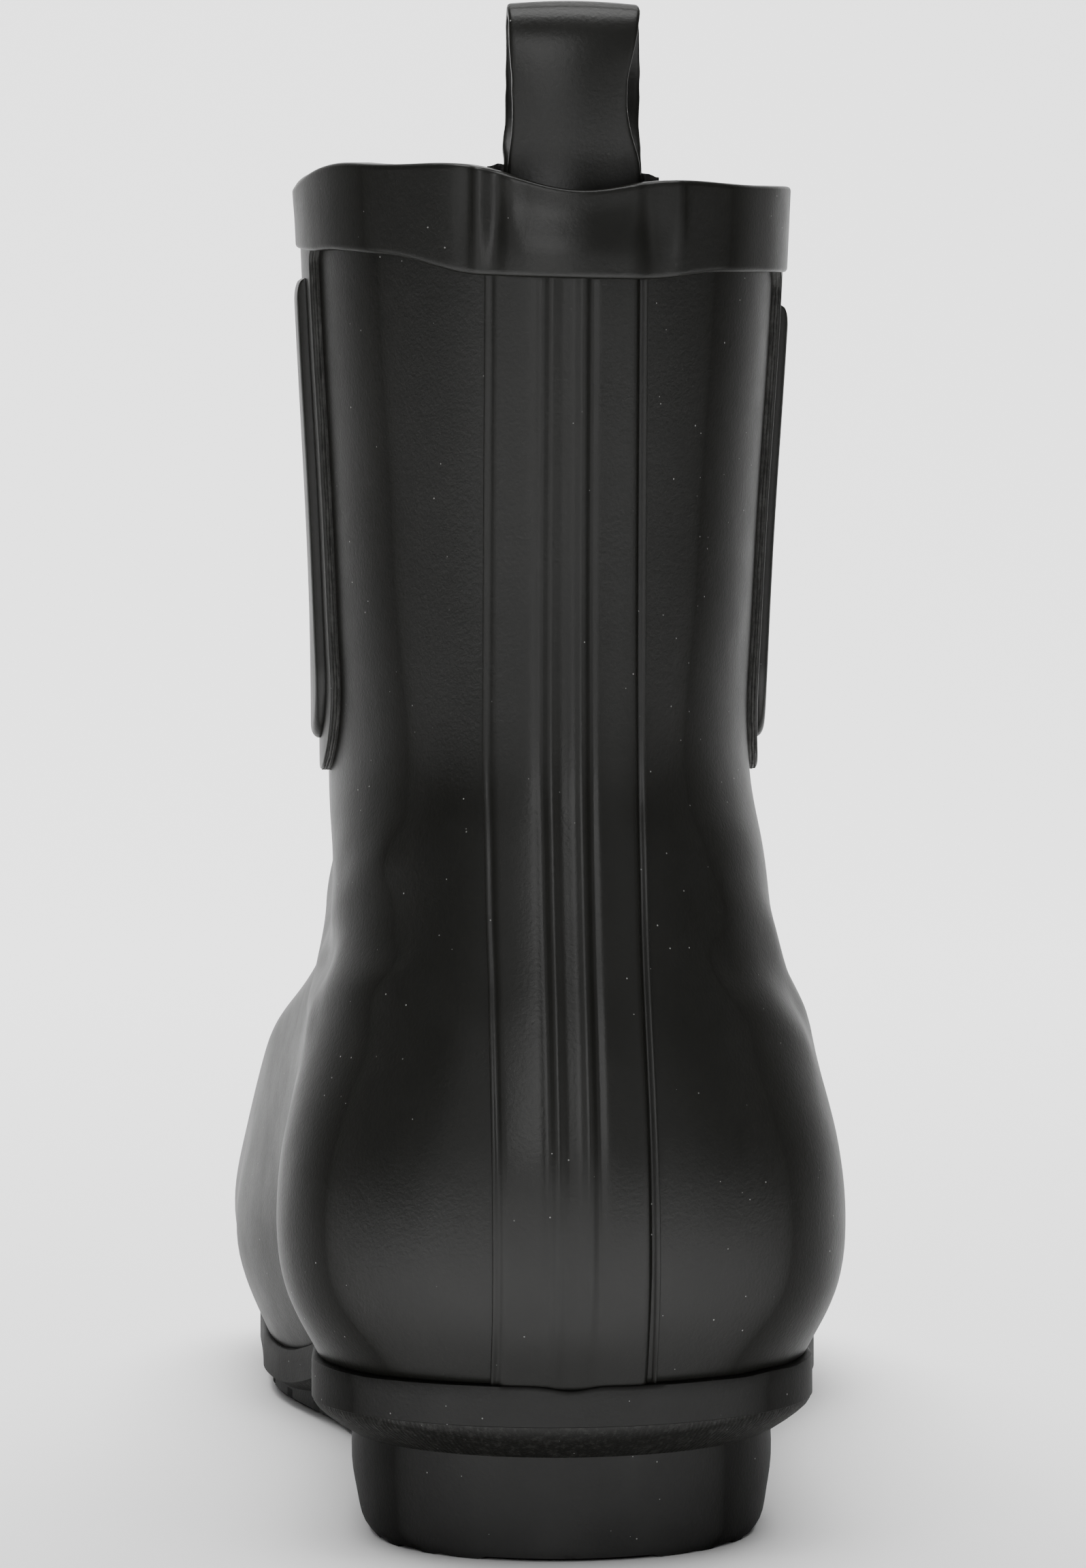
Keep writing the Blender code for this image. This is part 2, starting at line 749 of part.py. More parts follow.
def u_patch(side, top_drop, border, inner, outer, edge, rows, columns):
    """Two layers of a U-shaped patch on the shaft's side: straight sides and a round lower end.
    edge is how thick the patch still is at its rim."""
    ring = ring_at(np.array(BAND_LEVEL))
    centre_y = float(ring.back_y + ring.front_y) / 2 + GUSSET_FORWARD
    top_half = GUSSET_TOP_WIDTH / 2 - border
    low_half = GUSSET_LOW_WIDTH / 2 - border
    tip = GUSSET_TIP_HEIGHT + border
    turn_z = tip + low_half
    shares = np.linspace(0, 1, rows)
    grids = [[], []]
    for share in shares:
        across = np.linspace(-1, 1, columns)
        if share < GUSSET_STRAIGHT_SHARE:
            way = share / GUSSET_STRAIGHT_SHARE
            y = centre_y + across * (top_half + (low_half - top_half) * way)
            top = band_bottom(y) - top_drop
            z = top + (turn_z - top) * way
        else:
            turned = (share - GUSSET_STRAIGHT_SHARE) / (1 - GUSSET_STRAIGHT_SHARE)
            y = centre_y + across * low_half * math.cos(turned * math.pi / 2)
            z = np.full(columns, turn_z - low_half * math.sin(turned * math.pi / 2))
        turned = max(0, share - GUSSET_STRAIGHT_SHARE) / (1 - GUSSET_STRAIGHT_SHARE)
        pillow = (1 - np.abs(across) ** PANEL_FULLNESS) * (1 - turned**PANEL_FULLNESS)
        lift = inner + edge + (outer - inner - edge) * pillow
        grids[0].append(at_side(y, z, side, inner))
        grids[1].append(at_side(y, z, side, lift))
    return grids


def make_gusset(side, name, finish):
    layers = u_patch(side, GAP, 0, GAP, GAP + GUSSET_THICKNESS, GUSSET_THICKNESS, 13, 9)
    return slab(name, layers, finish, False)


def make_gusset_panel(side, name, finish):
    inner = 2 * GAP + GUSSET_THICKNESS
    outer = inner + PANEL_THICKNESS
    layers = u_patch(
        side, PANEL_BORDER, PANEL_BORDER, inner, outer, PANEL_EDGE_THICKNESS, 12, 9
    )
    return slab(name, layers, finish, False)


def make_back_stay(finish):
    """The strip down the back. Its rows lie on the upper's own rings, so that the two stay apart."""
    half = STAY_WIDTH / 2
    ends = np.array([float(edge_line(0.0)) + GAP, BACK_TOP - BAND_HEIGHT - GAP])
    low, high = level_where(height_at, lambda level: 0 * level, ends)
    rings = [
        level
        for level in upper_levels()
        if low + STAY_ROW_MARGIN < level < high - STAY_ROW_MARGIN
    ]
    levels = np.array([low] + rings + [high])
    across = np.array([point.across for point in STAY_PROFILE]) * half
    bead = np.array([point.height for point in STAY_PROFILE])
    x, level = np.meshgrid(across, levels)
    angle = back_angle(x, level)
    fade = smooth_step((height_at(level, angle) - ends[0]) / BEAD_FADE)
    lift = GAP + STAY_THICKNESS + BEAD_HEIGHT * bead[None, :] * fade
    layers = [upper_shell(level, angle, GAP), upper_shell(level, angle, lift)]
    return slab("back_stay", layers, finish, False)


def collar_inside(x, z):
    """How far forward the space inside the collar begins, at x and z near its back."""
    z = np.minimum(z, BACK_TOP - BAND_THICKNESS)
    outside_x = np.array(x, float)
    for _ in range(4):
        point = at_back(outside_x, z, -WALL - GAP)
        outside_x += x - point[..., 0]
    return point[..., 1]


def loop_centre_line():
    """Points (y, z, width share) of the pull loop's middle, from one hidden end to the other."""
    back_leg = float(collar_inside(0.0, BACK_TOP)) + LOOP_THICKNESS / 2
    front_leg = back_leg + LOOP_THICKNESS + GAP
    low = BACK_TOP - LOOP_DEPTH_INSIDE
    lean = float(collar_inside(0.0, low) - collar_inside(0.0, BACK_TOP))
    free = BACK_TOP + ANCHOR_RISE
    held = [(lean, low), (0.0, BACK_TOP - ANCHOR_RISE), (0.0, free)]
    points = [(back_leg + forward, z, 1.0) for forward, z in held]
    climb = LOOP_RISE - ANCHOR_RISE - LOOP_THICKNESS / 2
    for point in LOOP_PATH:
        y = back_leg + point.forward * LOOP_OPENING
        points.append((y, free + point.up * climb, point.width))
    points += [(front_leg + forward, z, LOOP_LEG_SHARE) for forward, z in held[::-1]]
    return points


def make_pull_loop(finish):
    """A folded strap: hollow across its width like the collar's wall at its ends, flatter at its top."""
    line = loop_centre_line()
    knots = [0.0]
    for low, high in zip(line, line[1:]):
        knots.append(knots[-1] + math.dist(low[:2], high[:2]))
    path = Spline(knots, line)(np.linspace(0, knots[-1], LOOP_STEPS))
    ahead = np.gradient(path[:, :2], axis=0)
    ahead /= np.linalg.norm(ahead, axis=1, keepdims=True)
    x = np.outer(path[:, 2], np.linspace(-1, 1, 5)) * LOOP_WIDTH / 2 + LOOP_OFFSET
    z = path[:, 1:2] + 0 * x
    bow = collar_inside(x, z) - collar_inside(0 * x, z)
    rise = (z - BACK_TOP - ANCHOR_RISE) / (LOOP_RISE - ANCHOR_RISE)
    bow *= 1 - LOOP_FLATTENING * smooth_step(rise)
    sections = []
    for (y, z, _), (dy, dz), row_x, row_bow in zip(path, ahead, x, bow):
        near, far = [], []
        for one_x, one_bow in zip(row_x, row_bow):
            for_y, for_z = -dz * LOOP_THICKNESS / 2, dy * LOOP_THICKNESS / 2
            near.append((one_x, y + one_bow - for_y, z - for_z))
            far.append((one_x, y + one_bow + for_y, z + for_z))
        sections.append(near + far[::-1])
    return block("pull_loop", sections, finish)


def make_loop_anchor(finish):
    """The patch over the loop's two ends, its side edges stepping back to the collar's wall."""
    heights = np.linspace(BACK_TOP - ANCHOR_DEPTH_INSIDE, BACK_TOP + ANCHOR_RISE, 6)
    over_legs = 2 * (LOOP_THICKNESS + GAP)
    leg_edge = LOOP_LEG_SHARE * LOOP_WIDTH / 2 + GAP
    edge = ANCHOR_WIDTH / 2
    side = [(0.0, over_legs), (0.5 * leg_edge, over_legs), (leg_edge, over_legs)]
    side += [(leg_edge + (edge - leg_edge) * ANCHOR_SLOPE_SHARE, 0.0), (edge, 0.0)]
    profile = [(-x, lift) for x, lift in side[:0:-1]] + side
    x = np.array([point[0] for point in profile]) + LOOP_OFFSET
    lift = np.array([point[1] for point in profile])
    grids = [[], []]
    for z in heights:
        y = collar_inside(x, np.full_like(x, z)) + lift
        for grid, depth in zip(grids, (0, ANCHOR_THICKNESS)):
            grid.append(np.stack([x, y + depth, np.full_like(x, z)], -1))
    return slab("loop_anchor", grids, finish, False)


def stand_on_centre(objects):
    """Parents every piece to an empty that puts the middle of the whole part's base at the origin."""
    bpy.context.view_layer.update()
    graph = bpy.context.evaluated_depsgraph_get()
    corners = []
    for piece in objects:
        corners += [tuple(v.co) for v in piece.evaluated_get(graph).data.vertices]
    corners = np.array(corners)
    low, high = corners.min(axis=0), corners.max(axis=0)
    base = bpy.data.objects.new("boot_base", None)
    bpy.context.scene.collection.objects.link(base)
    base.location = (-(low[0] + high[0]) / 2, -(low[1] + high[1]) / 2, -low[2])
    for piece in bpy.data.objects:
        if piece.type == "MESH":
            piece.parent = base


def main():
    for old in list(bpy.data.objects):
        bpy.data.objects.remove(old, do_unlink=True)
    rubber = material("upper_rubber", RUBBER_BLACK, 0.48)
    trim = material("trim_rubber", RUBBER_BLACK, 0.50)
    sole = material("sole_rubber", SOLE_BLACK, 0.62)
    lining = material("insole_lining", LINING_GREY, 0.90)
    pieces = [
        make_upper(rubber),
        make_collar_band(trim),
        make_back_stay(trim),
        make_gusset(-1, "gusset_medial", trim),
        make_gusset(1, "gusset_lateral", trim),
        make_gusset_panel(-1, "gusset_panel_medial", trim),
        make_gusset_panel(1, "gusset_panel_lateral", trim),
        make_pull_loop(trim),
        make_loop_anchor(trim),
        make_foxing(sole),
        make_outsole(sole),
        make_insole(lining),
    ]
    stand_on_centre(pieces)


main()
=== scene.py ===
import math
from collections import namedtuple

import bmesh
import bpy
import numpy as np
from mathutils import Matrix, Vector


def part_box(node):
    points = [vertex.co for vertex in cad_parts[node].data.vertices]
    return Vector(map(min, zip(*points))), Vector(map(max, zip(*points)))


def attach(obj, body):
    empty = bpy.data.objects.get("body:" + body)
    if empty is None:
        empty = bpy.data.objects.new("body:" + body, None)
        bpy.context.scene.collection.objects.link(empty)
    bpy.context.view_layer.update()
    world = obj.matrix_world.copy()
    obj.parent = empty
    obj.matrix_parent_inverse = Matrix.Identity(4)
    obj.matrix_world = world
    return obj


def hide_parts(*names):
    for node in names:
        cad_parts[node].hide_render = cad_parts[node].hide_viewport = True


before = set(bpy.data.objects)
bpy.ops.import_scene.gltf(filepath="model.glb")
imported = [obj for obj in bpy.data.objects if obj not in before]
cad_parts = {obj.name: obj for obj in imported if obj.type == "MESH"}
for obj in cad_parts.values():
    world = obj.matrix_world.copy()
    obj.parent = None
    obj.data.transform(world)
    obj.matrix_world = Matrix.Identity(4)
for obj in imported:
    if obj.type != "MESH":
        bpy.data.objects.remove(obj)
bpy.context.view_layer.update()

# The boot's sizes, in metres, in the frame where the sole's back is at y = 0 and the floor at z = 0
OUTSOLE_LENGTH = 0.280
SOLE_HEEL_WIDTH = 0.0697
SOLE_WAIST_WIDTH = 0.066
SOLE_BALL_WIDTH = 0.091
SOLE_REAR_ROUND = 0.036
SOLE_TOE_ROUND = 0.074
HEEL_RISE = 0.0110
TOE_SPRING = 0.010
FOXING_HEIGHT = 0.005
BEVEL_HEIGHT = 0.0056
BEVEL_INSET = 0.0054
FRONT_BEVEL_HEIGHT = 0.0015
FRONT_BEVEL_INSET = 0.0015
LUG_HEIGHT = 0.0025
HEEL_BLOCK_LENGTH = 0.074
TREAD_START = 0.124
TREAD_CHAMFER = 0.0009
GROOVE_WIDTH = 0.0034
GROOVE_PITCH = 0.0155
GROOVE_SLANT_DEG = 12
GROOVE_DEPTH = 0.0022
HEEL_GROOVE_DEPTH = 0.0030
HEEL_GROOVE_PLACES = (0.0237, 0.0407, 0.0577)
WALL = 0.0022
UPPER_HEEL_WIDTH = 0.0788
UPPER_WAIST_WIDTH = 0.077
UPPER_BALL_WIDTH = 0.0992
ANKLE_WIDTH = 0.0604
ANKLE_HEIGHT = 0.105
COLLAR_WIDTH = 0.0666
COLLAR_DEPTH = 0.098
SHAFT_HEIGHT = 0.190
COLLAR_DIP = 0.006
COLLAR_TILT = 0.00175
COLLAR_TILT_BEND = 0.00055
CORNER_DROP = 0.0057
CORNER_REACH = 0.0068
CORNER_START = 0.955
LASTING_INSET = 0.0030
FOXING_LEDGE = 0.0010
BAND_HEIGHT = 0.0115
BAND_THICKNESS = 0.0019
GUSSET_TOP_WIDTH = 0.036
GUSSET_LOW_WIDTH = 0.031
GUSSET_TIP_HEIGHT = 0.1045
GUSSET_FORWARD = 0.0065
GUSSET_STRAIGHT_SHARE = 0.55
GUSSET_THICKNESS = 0.0013
GUSSET_FILLET = 0.0036
GUSSET_FILLET_REACH = 0.0085
GUSSET_FILLET_SHARE = 0.045
GUSSET_UNDER_BAND = 0.0012
PANEL_BORDER = 0.0045
PANEL_THICKNESS = 0.0011
STAY_WIDTH = 0.0212
STAY_THICKNESS = 0.0012
LOOP_WIDTH = 0.0177
LOOP_THICKNESS = 0.0016
LOOP_RISE = 0.0242
LOOP_OFFSET = 0.0012
LOOP_OPENING = 0.0066
LOOP_DEPTH_INSIDE = 0.017
LOOP_LEG_SHARE = 1.05
LOOP_FLATTENING = 0.75
ANCHOR_WIDTH = 0.0232
ANCHOR_THICKNESS = 0.0012
ANCHOR_RISE = 0.0030
ANCHOR_DEPTH_INSIDE = 0.019
ANCHOR_SLOPE_SHARE = 0.4
INSOLE_THICKNESS = 0.003
INSOLE_CLEARANCE = 0.0006
GAP = 0.00035
BEDDING = 0.0003
ROUND_POWER = 2.3
TOE_SKEW = 0.12

HEEL_STATION = 0.136
WAIST_STATION = 0.393
BALL_STATION = 0.661
FLAT_END = 0.75
RISE_START = 0.27
RISE_END = 0.60
SHAFT_FRONT_FULLNESS = 0.97
COLLAR_SIDE_LIFT = 0.0014

SIDES = ((-1, "medial"), (1, "lateral"))

FOOT_AXIS = ((0.00, 0.000), (0.36, 0.055), (0.625, 0.100), (0.85, 0.103), (1.00, 0.082))

FootRow = namedtuple(
    "FootRow", "back_y back_z front_y front_z narrowing waist ball rear nose follow sway"
)
FOOT_ROWS = (
    FootRow(-0.0105, 0.324, 0.9965, 0.318, 0.07, 0.965, 1.000, 0.143, 0.270, 0.95, 1.00),
    FootRow(-0.0143, 0.457, 0.9840, 0.430, 0.00, 1.000, 0.970, 0.152, 0.280, 0.80, 0.95),
    FootRow(-0.0095, 0.571, 0.9260, 0.528, 0.24, 0.970, 0.905, 0.157, 0.290, 0.60, 0.90),
    FootRow(0.0000, 0.676, 0.8200, 0.594, 0.52, 0.910, 0.830, 0.162, 0.295, 0.40, 0.80),
    FootRow(0.0110, 0.771, 0.7020, 0.662, 0.77, 0.840, 0.750, 0.166, 0.290, 0.25, 0.66),
    FootRow(0.0200, 0.857, 0.5870, 0.757, 0.91, 0.790, 0.700, 0.168, 0.275, 0.10, 0.48),
    FootRow(0.0270, 0.933, 0.4950, 0.872, 0.985, 0.775, 0.680, 0.170, 0.245, 0.00, 0.27),
)
ShaftRow = namedtuple("ShaftRow", "back_y depth rise flare sway")
SHAFT_ROWS = (
    ShaftRow(0.0314, 1.150, 0.00, 0.00, 0.08),
    ShaftRow(0.0332, 1.050, 0.20, 0.00, 0.00),
    ShaftRow(0.0307, 1.008, 0.45, 0.26, 0.00),
    ShaftRow(0.0257, 0.996, 0.73, 0.68, 0.00),
    ShaftRow(0.0214, 1.000, 1.00, 1.00, 0.00),
)

# Rounded ridges and grooves along the back stay: metres across, height and half width of each
Bead = namedtuple("Bead", "across height width")
STAY_BEADS = (
    Bead(-0.0032, -0.00020, 0.0007),
    Bead(-0.0020, 0.00055, 0.0008),
    Bead(0.0000, 0.00012, 0.0012),
    Bead(0.0019, 0.00060, 0.0008),
    Bead(0.0031, -0.00035, 0.0006),
)

# How the collar's rim rises and dips along its back: metres across, height and half width of each
RIM_WAVES = (
    Bead(-0.0140, 0.0014, 0.0075),
    Bead(0.0012, -0.0012, 0.0080),
    Bead(0.0150, 0.0008, 0.0080),
)

# The heel block's side, from its top to the floor: share of its height, then its insets at the
# sides and at the back as shares of the bevel's
HEEL_PROFILE = (
    (1.10, 1.06, 0.90),
    (0.58, 1.06, 0.90),
    (0.40, 1.15, 0.88),
    (0.22, 1.25, 0.84),
    (0.09, 1.42, 0.80),
    (0.00, 1.70, 0.80),
)

# The loop's middle line: shares of its opening forwards, its climb and its width, metres aside
LOOP_PATH = (
    (-0.05, 0.15, 0.925, -0.0003),
    (-0.11, 0.38, 0.865, -0.0007),
    (-0.12, 0.62, 0.905, -0.0006),
    (-0.02, 0.84, 0.98, -0.0002),
    (0.24, 0.965, 1.00, 0.0),
    (0.62, 1.00, 1.00, 0.0),
    (1.00, 0.93, 1.01, 0.0002),
    (1.20, 0.74, 1.02, 0.0004),
    (1.16, 0.50, 1.03, 0.0004),
    (0.88, 0.27, 1.03, 0.0002),
    (0.55, 0.11, 1.05, 0.0),
)

# Soft creases of the rubber. Points are (x, z) seen from the back, or (y, z) seen from a side,
# in metres. A positive height is a ridge and a negative one a trough; width is its half width.
Crease = namedtuple("Crease", "view points height width")
CREASES = (
    Crease("back", ((-0.0240, 0.0925), (-0.0283, 0.0879), (-0.0332, 0.0777)), 0.00036, 0.0038),
    Crease("back", ((-0.0220, 0.0830), (-0.0285, 0.0815), (-0.0335, 0.0735)), -0.00026, 0.0040),
    Crease("back", ((-0.0225, 0.0772), (-0.0276, 0.0758), (-0.0344, 0.0701)), 0.00040, 0.0034),
    Crease("back", ((-0.0215, 0.0700), (-0.0285, 0.0690), (-0.0350, 0.0640)), -0.00034, 0.0042),
    Crease("back", ((-0.0180, 0.0765), (-0.0110, 0.0775)), -0.00020, 0.0045),
    Crease("back", ((0.0230, 0.0870), (0.0290, 0.0852), (0.0325, 0.0805)), 0.00040, 0.0042),
    Crease("back", ((0.0225, 0.0795), (0.0290, 0.0785), (0.0335, 0.0740)), -0.00040, 0.0042),
    Crease("back", ((0.0225, 0.0730), (0.0295, 0.0715), (0.0345, 0.0680)), 0.00040, 0.0042),
    Crease(-1, ((0.044, 0.0775), (0.070, 0.0870), (0.100, 0.1010)), -0.0008, 0.0060),
    Crease(-1, ((0.044, 0.0700), (0.075, 0.0760), (0.112, 0.0900)), 0.0007, 0.0055),
    Crease(-1, ((0.048, 0.0630), (0.082, 0.0660), (0.125, 0.0790)), -0.0006, 0.0060),
    Crease(1, ((0.044, 0.0800), (0.072, 0.0890), (0.102, 0.1020)), -0.0008, 0.0060),
    Crease(1, ((0.044, 0.0705), (0.078, 0.0765), (0.114, 0.0900)), 0.0006, 0.0055),
    Crease(1, ((0.050, 0.0635), (0.084, 0.0665), (0.126, 0.0790)), -0.0006, 0.0060),
)

Ring = namedtuple(
    "Ring",
    "back_y back_z front_y front_z heel waist ball rear nose follow sway lift fullness",
    defaults=(0.0, ROUND_POWER),
)

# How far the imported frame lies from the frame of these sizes
loop_low, loop_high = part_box("pull_loop")
foxing_low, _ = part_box("foxing")
SHIFT = np.array([(loop_low[0] + loop_high[0]) / 2 - LOOP_OFFSET, foxing_low[1], 0.0])


class Spline:
    """A natural cubic curve through one value, or one row of values, at each knot."""

    def __init__(self, knots, values):
        self.knots = np.asarray(knots, float)
        self.values = np.asarray(values, float)
        count = len(self.knots)
        gaps = np.diff(self.knots)
        system = np.eye(count)
        right = np.zeros_like(self.values)
        for i in range(1, count - 1):
            system[i, i - 1 : i + 2] = gaps[i - 1], 2 * (gaps[i - 1] + gaps[i]), gaps[i]
            after = (self.values[i + 1] - self.values[i]) / gaps[i]
            before = (self.values[i] - self.values[i - 1]) / gaps[i - 1]
            right[i] = 6 * (after - before)
        self.bends = np.linalg.solve(system, right)

    def __call__(self, at):
        at = np.asarray(at, float)
        low = np.clip(np.searchsorted(self.knots, at) - 1, 0, len(self.knots) - 2)
        gap = self.knots[low + 1] - self.knots[low]
        share = (at - self.knots[low]) / gap
        if self.values.ndim > 1:
            gap, share = gap[..., None], share[..., None]
        rest = 1 - share
        line = rest * self.values[low] + share * self.values[low + 1]
        curve = (rest**3 - rest) * self.bends[low] + (share**3 - share) * self.bends[low + 1]
        return line + curve * gap**2 / 6


def smooth_step(share):
    share = np.clip(share, 0, 1)
    return share * share * (3 - 2 * share)


def hump(distance, width):
    return np.exp(-((distance / width) ** 2))


foot_axis = Spline(
    [along * OUTSOLE_LENGTH for along, _ in FOOT_AXIS],
    [outwards * SOLE_BALL_WIDTH for _, outwards in FOOT_AXIS],
)


def tread_line(y):
    """Height of the tread's lowest face, which lifts off the floor at the toe."""
    start = FLAT_END * OUTSOLE_LENGTH
    share = np.clip((y - start) / (OUTSOLE_LENGTH - start), 0, 1.1)
    return TOE_SPRING * share**2


def heel_share(y):
    """1 over the heel, 0 over the forefoot, and between them where the arch comes down."""
    start, end = RISE_START * OUTSOLE_LENGTH, RISE_END * OUTSOLE_LENGTH
    return 1 - smooth_step((y - start) / (end - start))


def bevel_height(y):
    return FRONT_BEVEL_HEIGHT + (BEVEL_HEIGHT - FRONT_BEVEL_HEIGHT) * heel_share(y)


def edge_line(y):
    """Height of the foxing's top edge."""
    below = LUG_HEIGHT + HEEL_RISE * heel_share(y) + bevel_height(y)
    return tread_line(y) + below + FOXING_HEIGHT


def flange_line(y):
    return edge_line(y) - FOXING_HEIGHT


def base_line(y):
    return flange_line(y) - bevel_height(y)


def sole_ring(inset, below_edge=0.0, back_inset=None, front_inset=None):
    """The sole's outline, moved inwards; its back and its forefoot may be moved by other distances."""
    back = inset if back_inset is None else back_inset
    ahead = inset if front_inset is None else front_inset
    front = OUTSOLE_LENGTH - ahead
    return Ring(
        back_y=back,
        back_z=float(edge_line(back)) - below_edge,
        front_y=front,
        front_z=float(edge_line(front)) - below_edge,
        heel=SOLE_HEEL_WIDTH / 2 - inset,
        waist=SOLE_WAIST_WIDTH / 2 - (inset + ahead) / 2,
        ball=SOLE_BALL_WIDTH / 2 - ahead,
        rear=SOLE_REAR_ROUND - 2 * (inset - back),
        nose=SOLE_TOE_ROUND,
        follow=1.0,
        sway=1.0,
    )


def foot_ring(row):
    heel_half = UPPER_HEEL_WIDTH / 2 - (UPPER_HEEL_WIDTH - ANKLE_WIDTH) / 2 * row.narrowing
    return Ring(
        back_y=row.back_y * OUTSOLE_LENGTH,
        back_z=row.back_z * ANKLE_HEIGHT,
        front_y=row.front_y * OUTSOLE_LENGTH,
        front_z=row.front_z * ANKLE_HEIGHT,
        heel=heel_half,
        waist=row.waist * UPPER_WAIST_WIDTH / 2,
        ball=row.ball * UPPER_BALL_WIDTH / 2,
        rear=row.rear * OUTSOLE_LENGTH,
        nose=row.nose * OUTSOLE_LENGTH,
        follow=row.follow,
        sway=row.sway,
    )


def shaft_ring(row):
    half = (ANKLE_WIDTH + (COLLAR_WIDTH - ANKLE_WIDTH) * row.flare) / 2
    depth = row.depth * COLLAR_DEPTH
    climb = row.rise * (SHAFT_HEIGHT - ANKLE_HEIGHT)
    return Ring(
        back_y=row.back_y * OUTSOLE_LENGTH,
        back_z=ANKLE_HEIGHT + climb - COLLAR_DIP * row.rise,
        front_y=row.back_y * OUTSOLE_LENGTH + depth,
        front_z=ANKLE_HEIGHT + climb,
        heel=half,
        waist=half * SHAFT_FRONT_FULLNESS,
        ball=half * SHAFT_FRONT_FULLNESS,
        rear=depth / 2,
        nose=depth / 2,
        follow=0.0,
        sway=row.sway,
        lift=COLLAR_SIDE_LIFT * row.rise,
        fullness=2.0,
    )


def upper_rings():
    rings = [sole_ring(LASTING_INSET, FOXING_HEIGHT - GAP), sole_ring(FOXING_LEDGE)]
    rings += [foot_ring(row) for row in FOOT_ROWS]
    rings += [shaft_ring(row) for row in SHAFT_ROWS]
    return rings


def ring_spline():
    """Each measure of the upper's rings as a smooth curve, from 0 at its bottom edge to 1 at the top."""
    rings = upper_rings()
    knots = [0.0]
    for low, high in zip(rings, rings[1:]):
        back = math.hypot(high.back_y - low.back_y, high.back_z - low.back_z)
        front = math.hypot(high.front_y - low.front_y, high.front_z - low.front_z)
        knots.append(knots[-1] + (back + front) / 2)
    knots = np.array(knots) / knots[-1]
    return Spline(knots, rings)


upper_spline = ring_spline()
FOXING_LEVEL = upper_spline.knots[1]
BACK_TOP = upper_rings()[-1].back_z


def half_width(ring, y, side):
    """Distance from the centre line to the ring, at y, on the outer (+1) or inner (-1) side."""
    heel_y, waist_y, ball_y = (
        station * OUTSOLE_LENGTH for station in (HEEL_STATION, WAIST_STATION, BALL_STATION)
    )
    to_waist = smooth_step((y - heel_y) / (waist_y - heel_y))
    to_ball = smooth_step((y - waist_y) / (ball_y - waist_y))
    width = ring.heel + (ring.waist - ring.heel) * to_waist + (ring.ball - ring.waist) * to_ball
    skewed = ring.nose * (1 + side * TOE_SKEW * ring.sway)
    rear = 1 - np.clip((y - ring.back_y) / ring.rear, 0, 1)
    nose = 1 - np.clip((ring.front_y - y) / skewed, 0, 1)
    rounded = np.sqrt(1 - rear**2) * (1 - nose**ring.fullness) ** (1 / ring.fullness)
    return width * rounded


def ring_height(ring, y):
    share = (y - ring.back_y) / (ring.front_y - ring.back_y)
    low, high = edge_line(ring.back_y), edge_line(ring.front_y)
    from_edge = edge_line(y) - (low + (high - low) * share)
    line = ring.back_z + (ring.front_z - ring.back_z) * share
    return line + ring.follow * from_edge + ring.lift * 4 * share * (1 - share)


def on_ring(ring, angle):
    """Points of a ring: angle 0 at the back, pi at the front, positive on the outer side."""
    share = (1 - np.cos(angle)) / 2
    y = ring.back_y + (ring.front_y - ring.back_y) * share
    side = np.where(np.sin(angle) < 0, -1, 1)
    x = foot_axis(y) * ring.sway + side * half_width(ring, y, side)
    return np.stack([x, y, ring_height(ring, y)], -1)


def ring_at(level):
    return Ring(*np.moveaxis(upper_spline(level), -1, 0))


def collar_tilt(side):
    """How far the collar is lifted, at a share of its half width towards the outer side."""
    return COLLAR_TILT_BEND * side**2 - COLLAR_TILT * side


def upper_point(level, angle):
    point = on_ring(ring_at(level), angle)
    high = smooth_step((point[..., 2] - ANKLE_HEIGHT) / (SHAFT_HEIGHT - ANKLE_HEIGHT))
    point[..., 2] += high * collar_tilt(point[..., 0] / (COLLAR_WIDTH / 2))
    rim = smooth_step((np.asarray(level) - CORNER_START) / (1 - CORNER_START))
    corner = np.clip((CORNER_REACH - COLLAR_WIDTH / 2 - point[..., 0]) / CORNER_REACH, 0, 1)
    point[..., 2] -= CORNER_DROP * rim * (1 - np.sqrt(1 - (0.97 * corner) ** 2))
    waves = sum(wave.height * hump(point[..., 0] - wave.across, wave.width) for wave in RIM_WAVES)
    point[..., 2] += rim * np.clip(np.cos(angle), 0, 1) * waves
    return point


def plain_shell(level, angle, offset):
    """Points at a distance outside the upper's outer face, without its creases."""
    level, angle = np.broadcast_arrays(np.asarray(level, float), np.asarray(angle, float))
    step = 1e-4
    low, high = np.clip(level - step, 0, 1), np.clip(level + step, 0, 1)
    up = upper_point(high, angle) - upper_point(low, angle)
    around = upper_point(level, angle + step) - upper_point(level, angle - step)
    normal = np.cross(around, up)
    normal /= np.linalg.norm(normal, axis=-1, keepdims=True)
    return upper_point(level, angle) + normal * np.asarray(offset, float)[..., None]


def halved(low, high, is_below):
    """The values between low and high up to which is_below holds, by halving."""
    for _ in range(24):
        middle = (low + high) / 2
        below = is_below(middle)
        low = np.where(below, middle, low)
        high = np.where(below, high, middle)
    return (low + high) / 2


def height_at(level, angle):
    return upper_point(level, angle)[..., 2]


def level_where(angle_of, target):
    """The level at which the upper, at angle_of(level), reaches the target height."""
    low, high = np.zeros_like(target), np.ones_like(target)
    return halved(low, high, lambda level: height_at(level, angle_of(level)) < target)


def side_place(y, z, side):
    """Level and angle of the point over the upper's side that lies at y and z."""

    def angle_of(level):
        ring = ring_at(level)
        share = np.clip((y - ring.back_y) / (ring.front_y - ring.back_y), 0, 1)
        return side * np.arccos(1 - 2 * share)

    level = level_where(angle_of, z)
    return level, angle_of(level)


def back_angle(x, level):
    """The angle at which the ring at a level passes x, near its back."""
    low, high = np.full_like(x, -1.2), np.full_like(x, 1.2)
    return halved(low, high, lambda angle: upper_point(level, angle)[..., 0] < x)


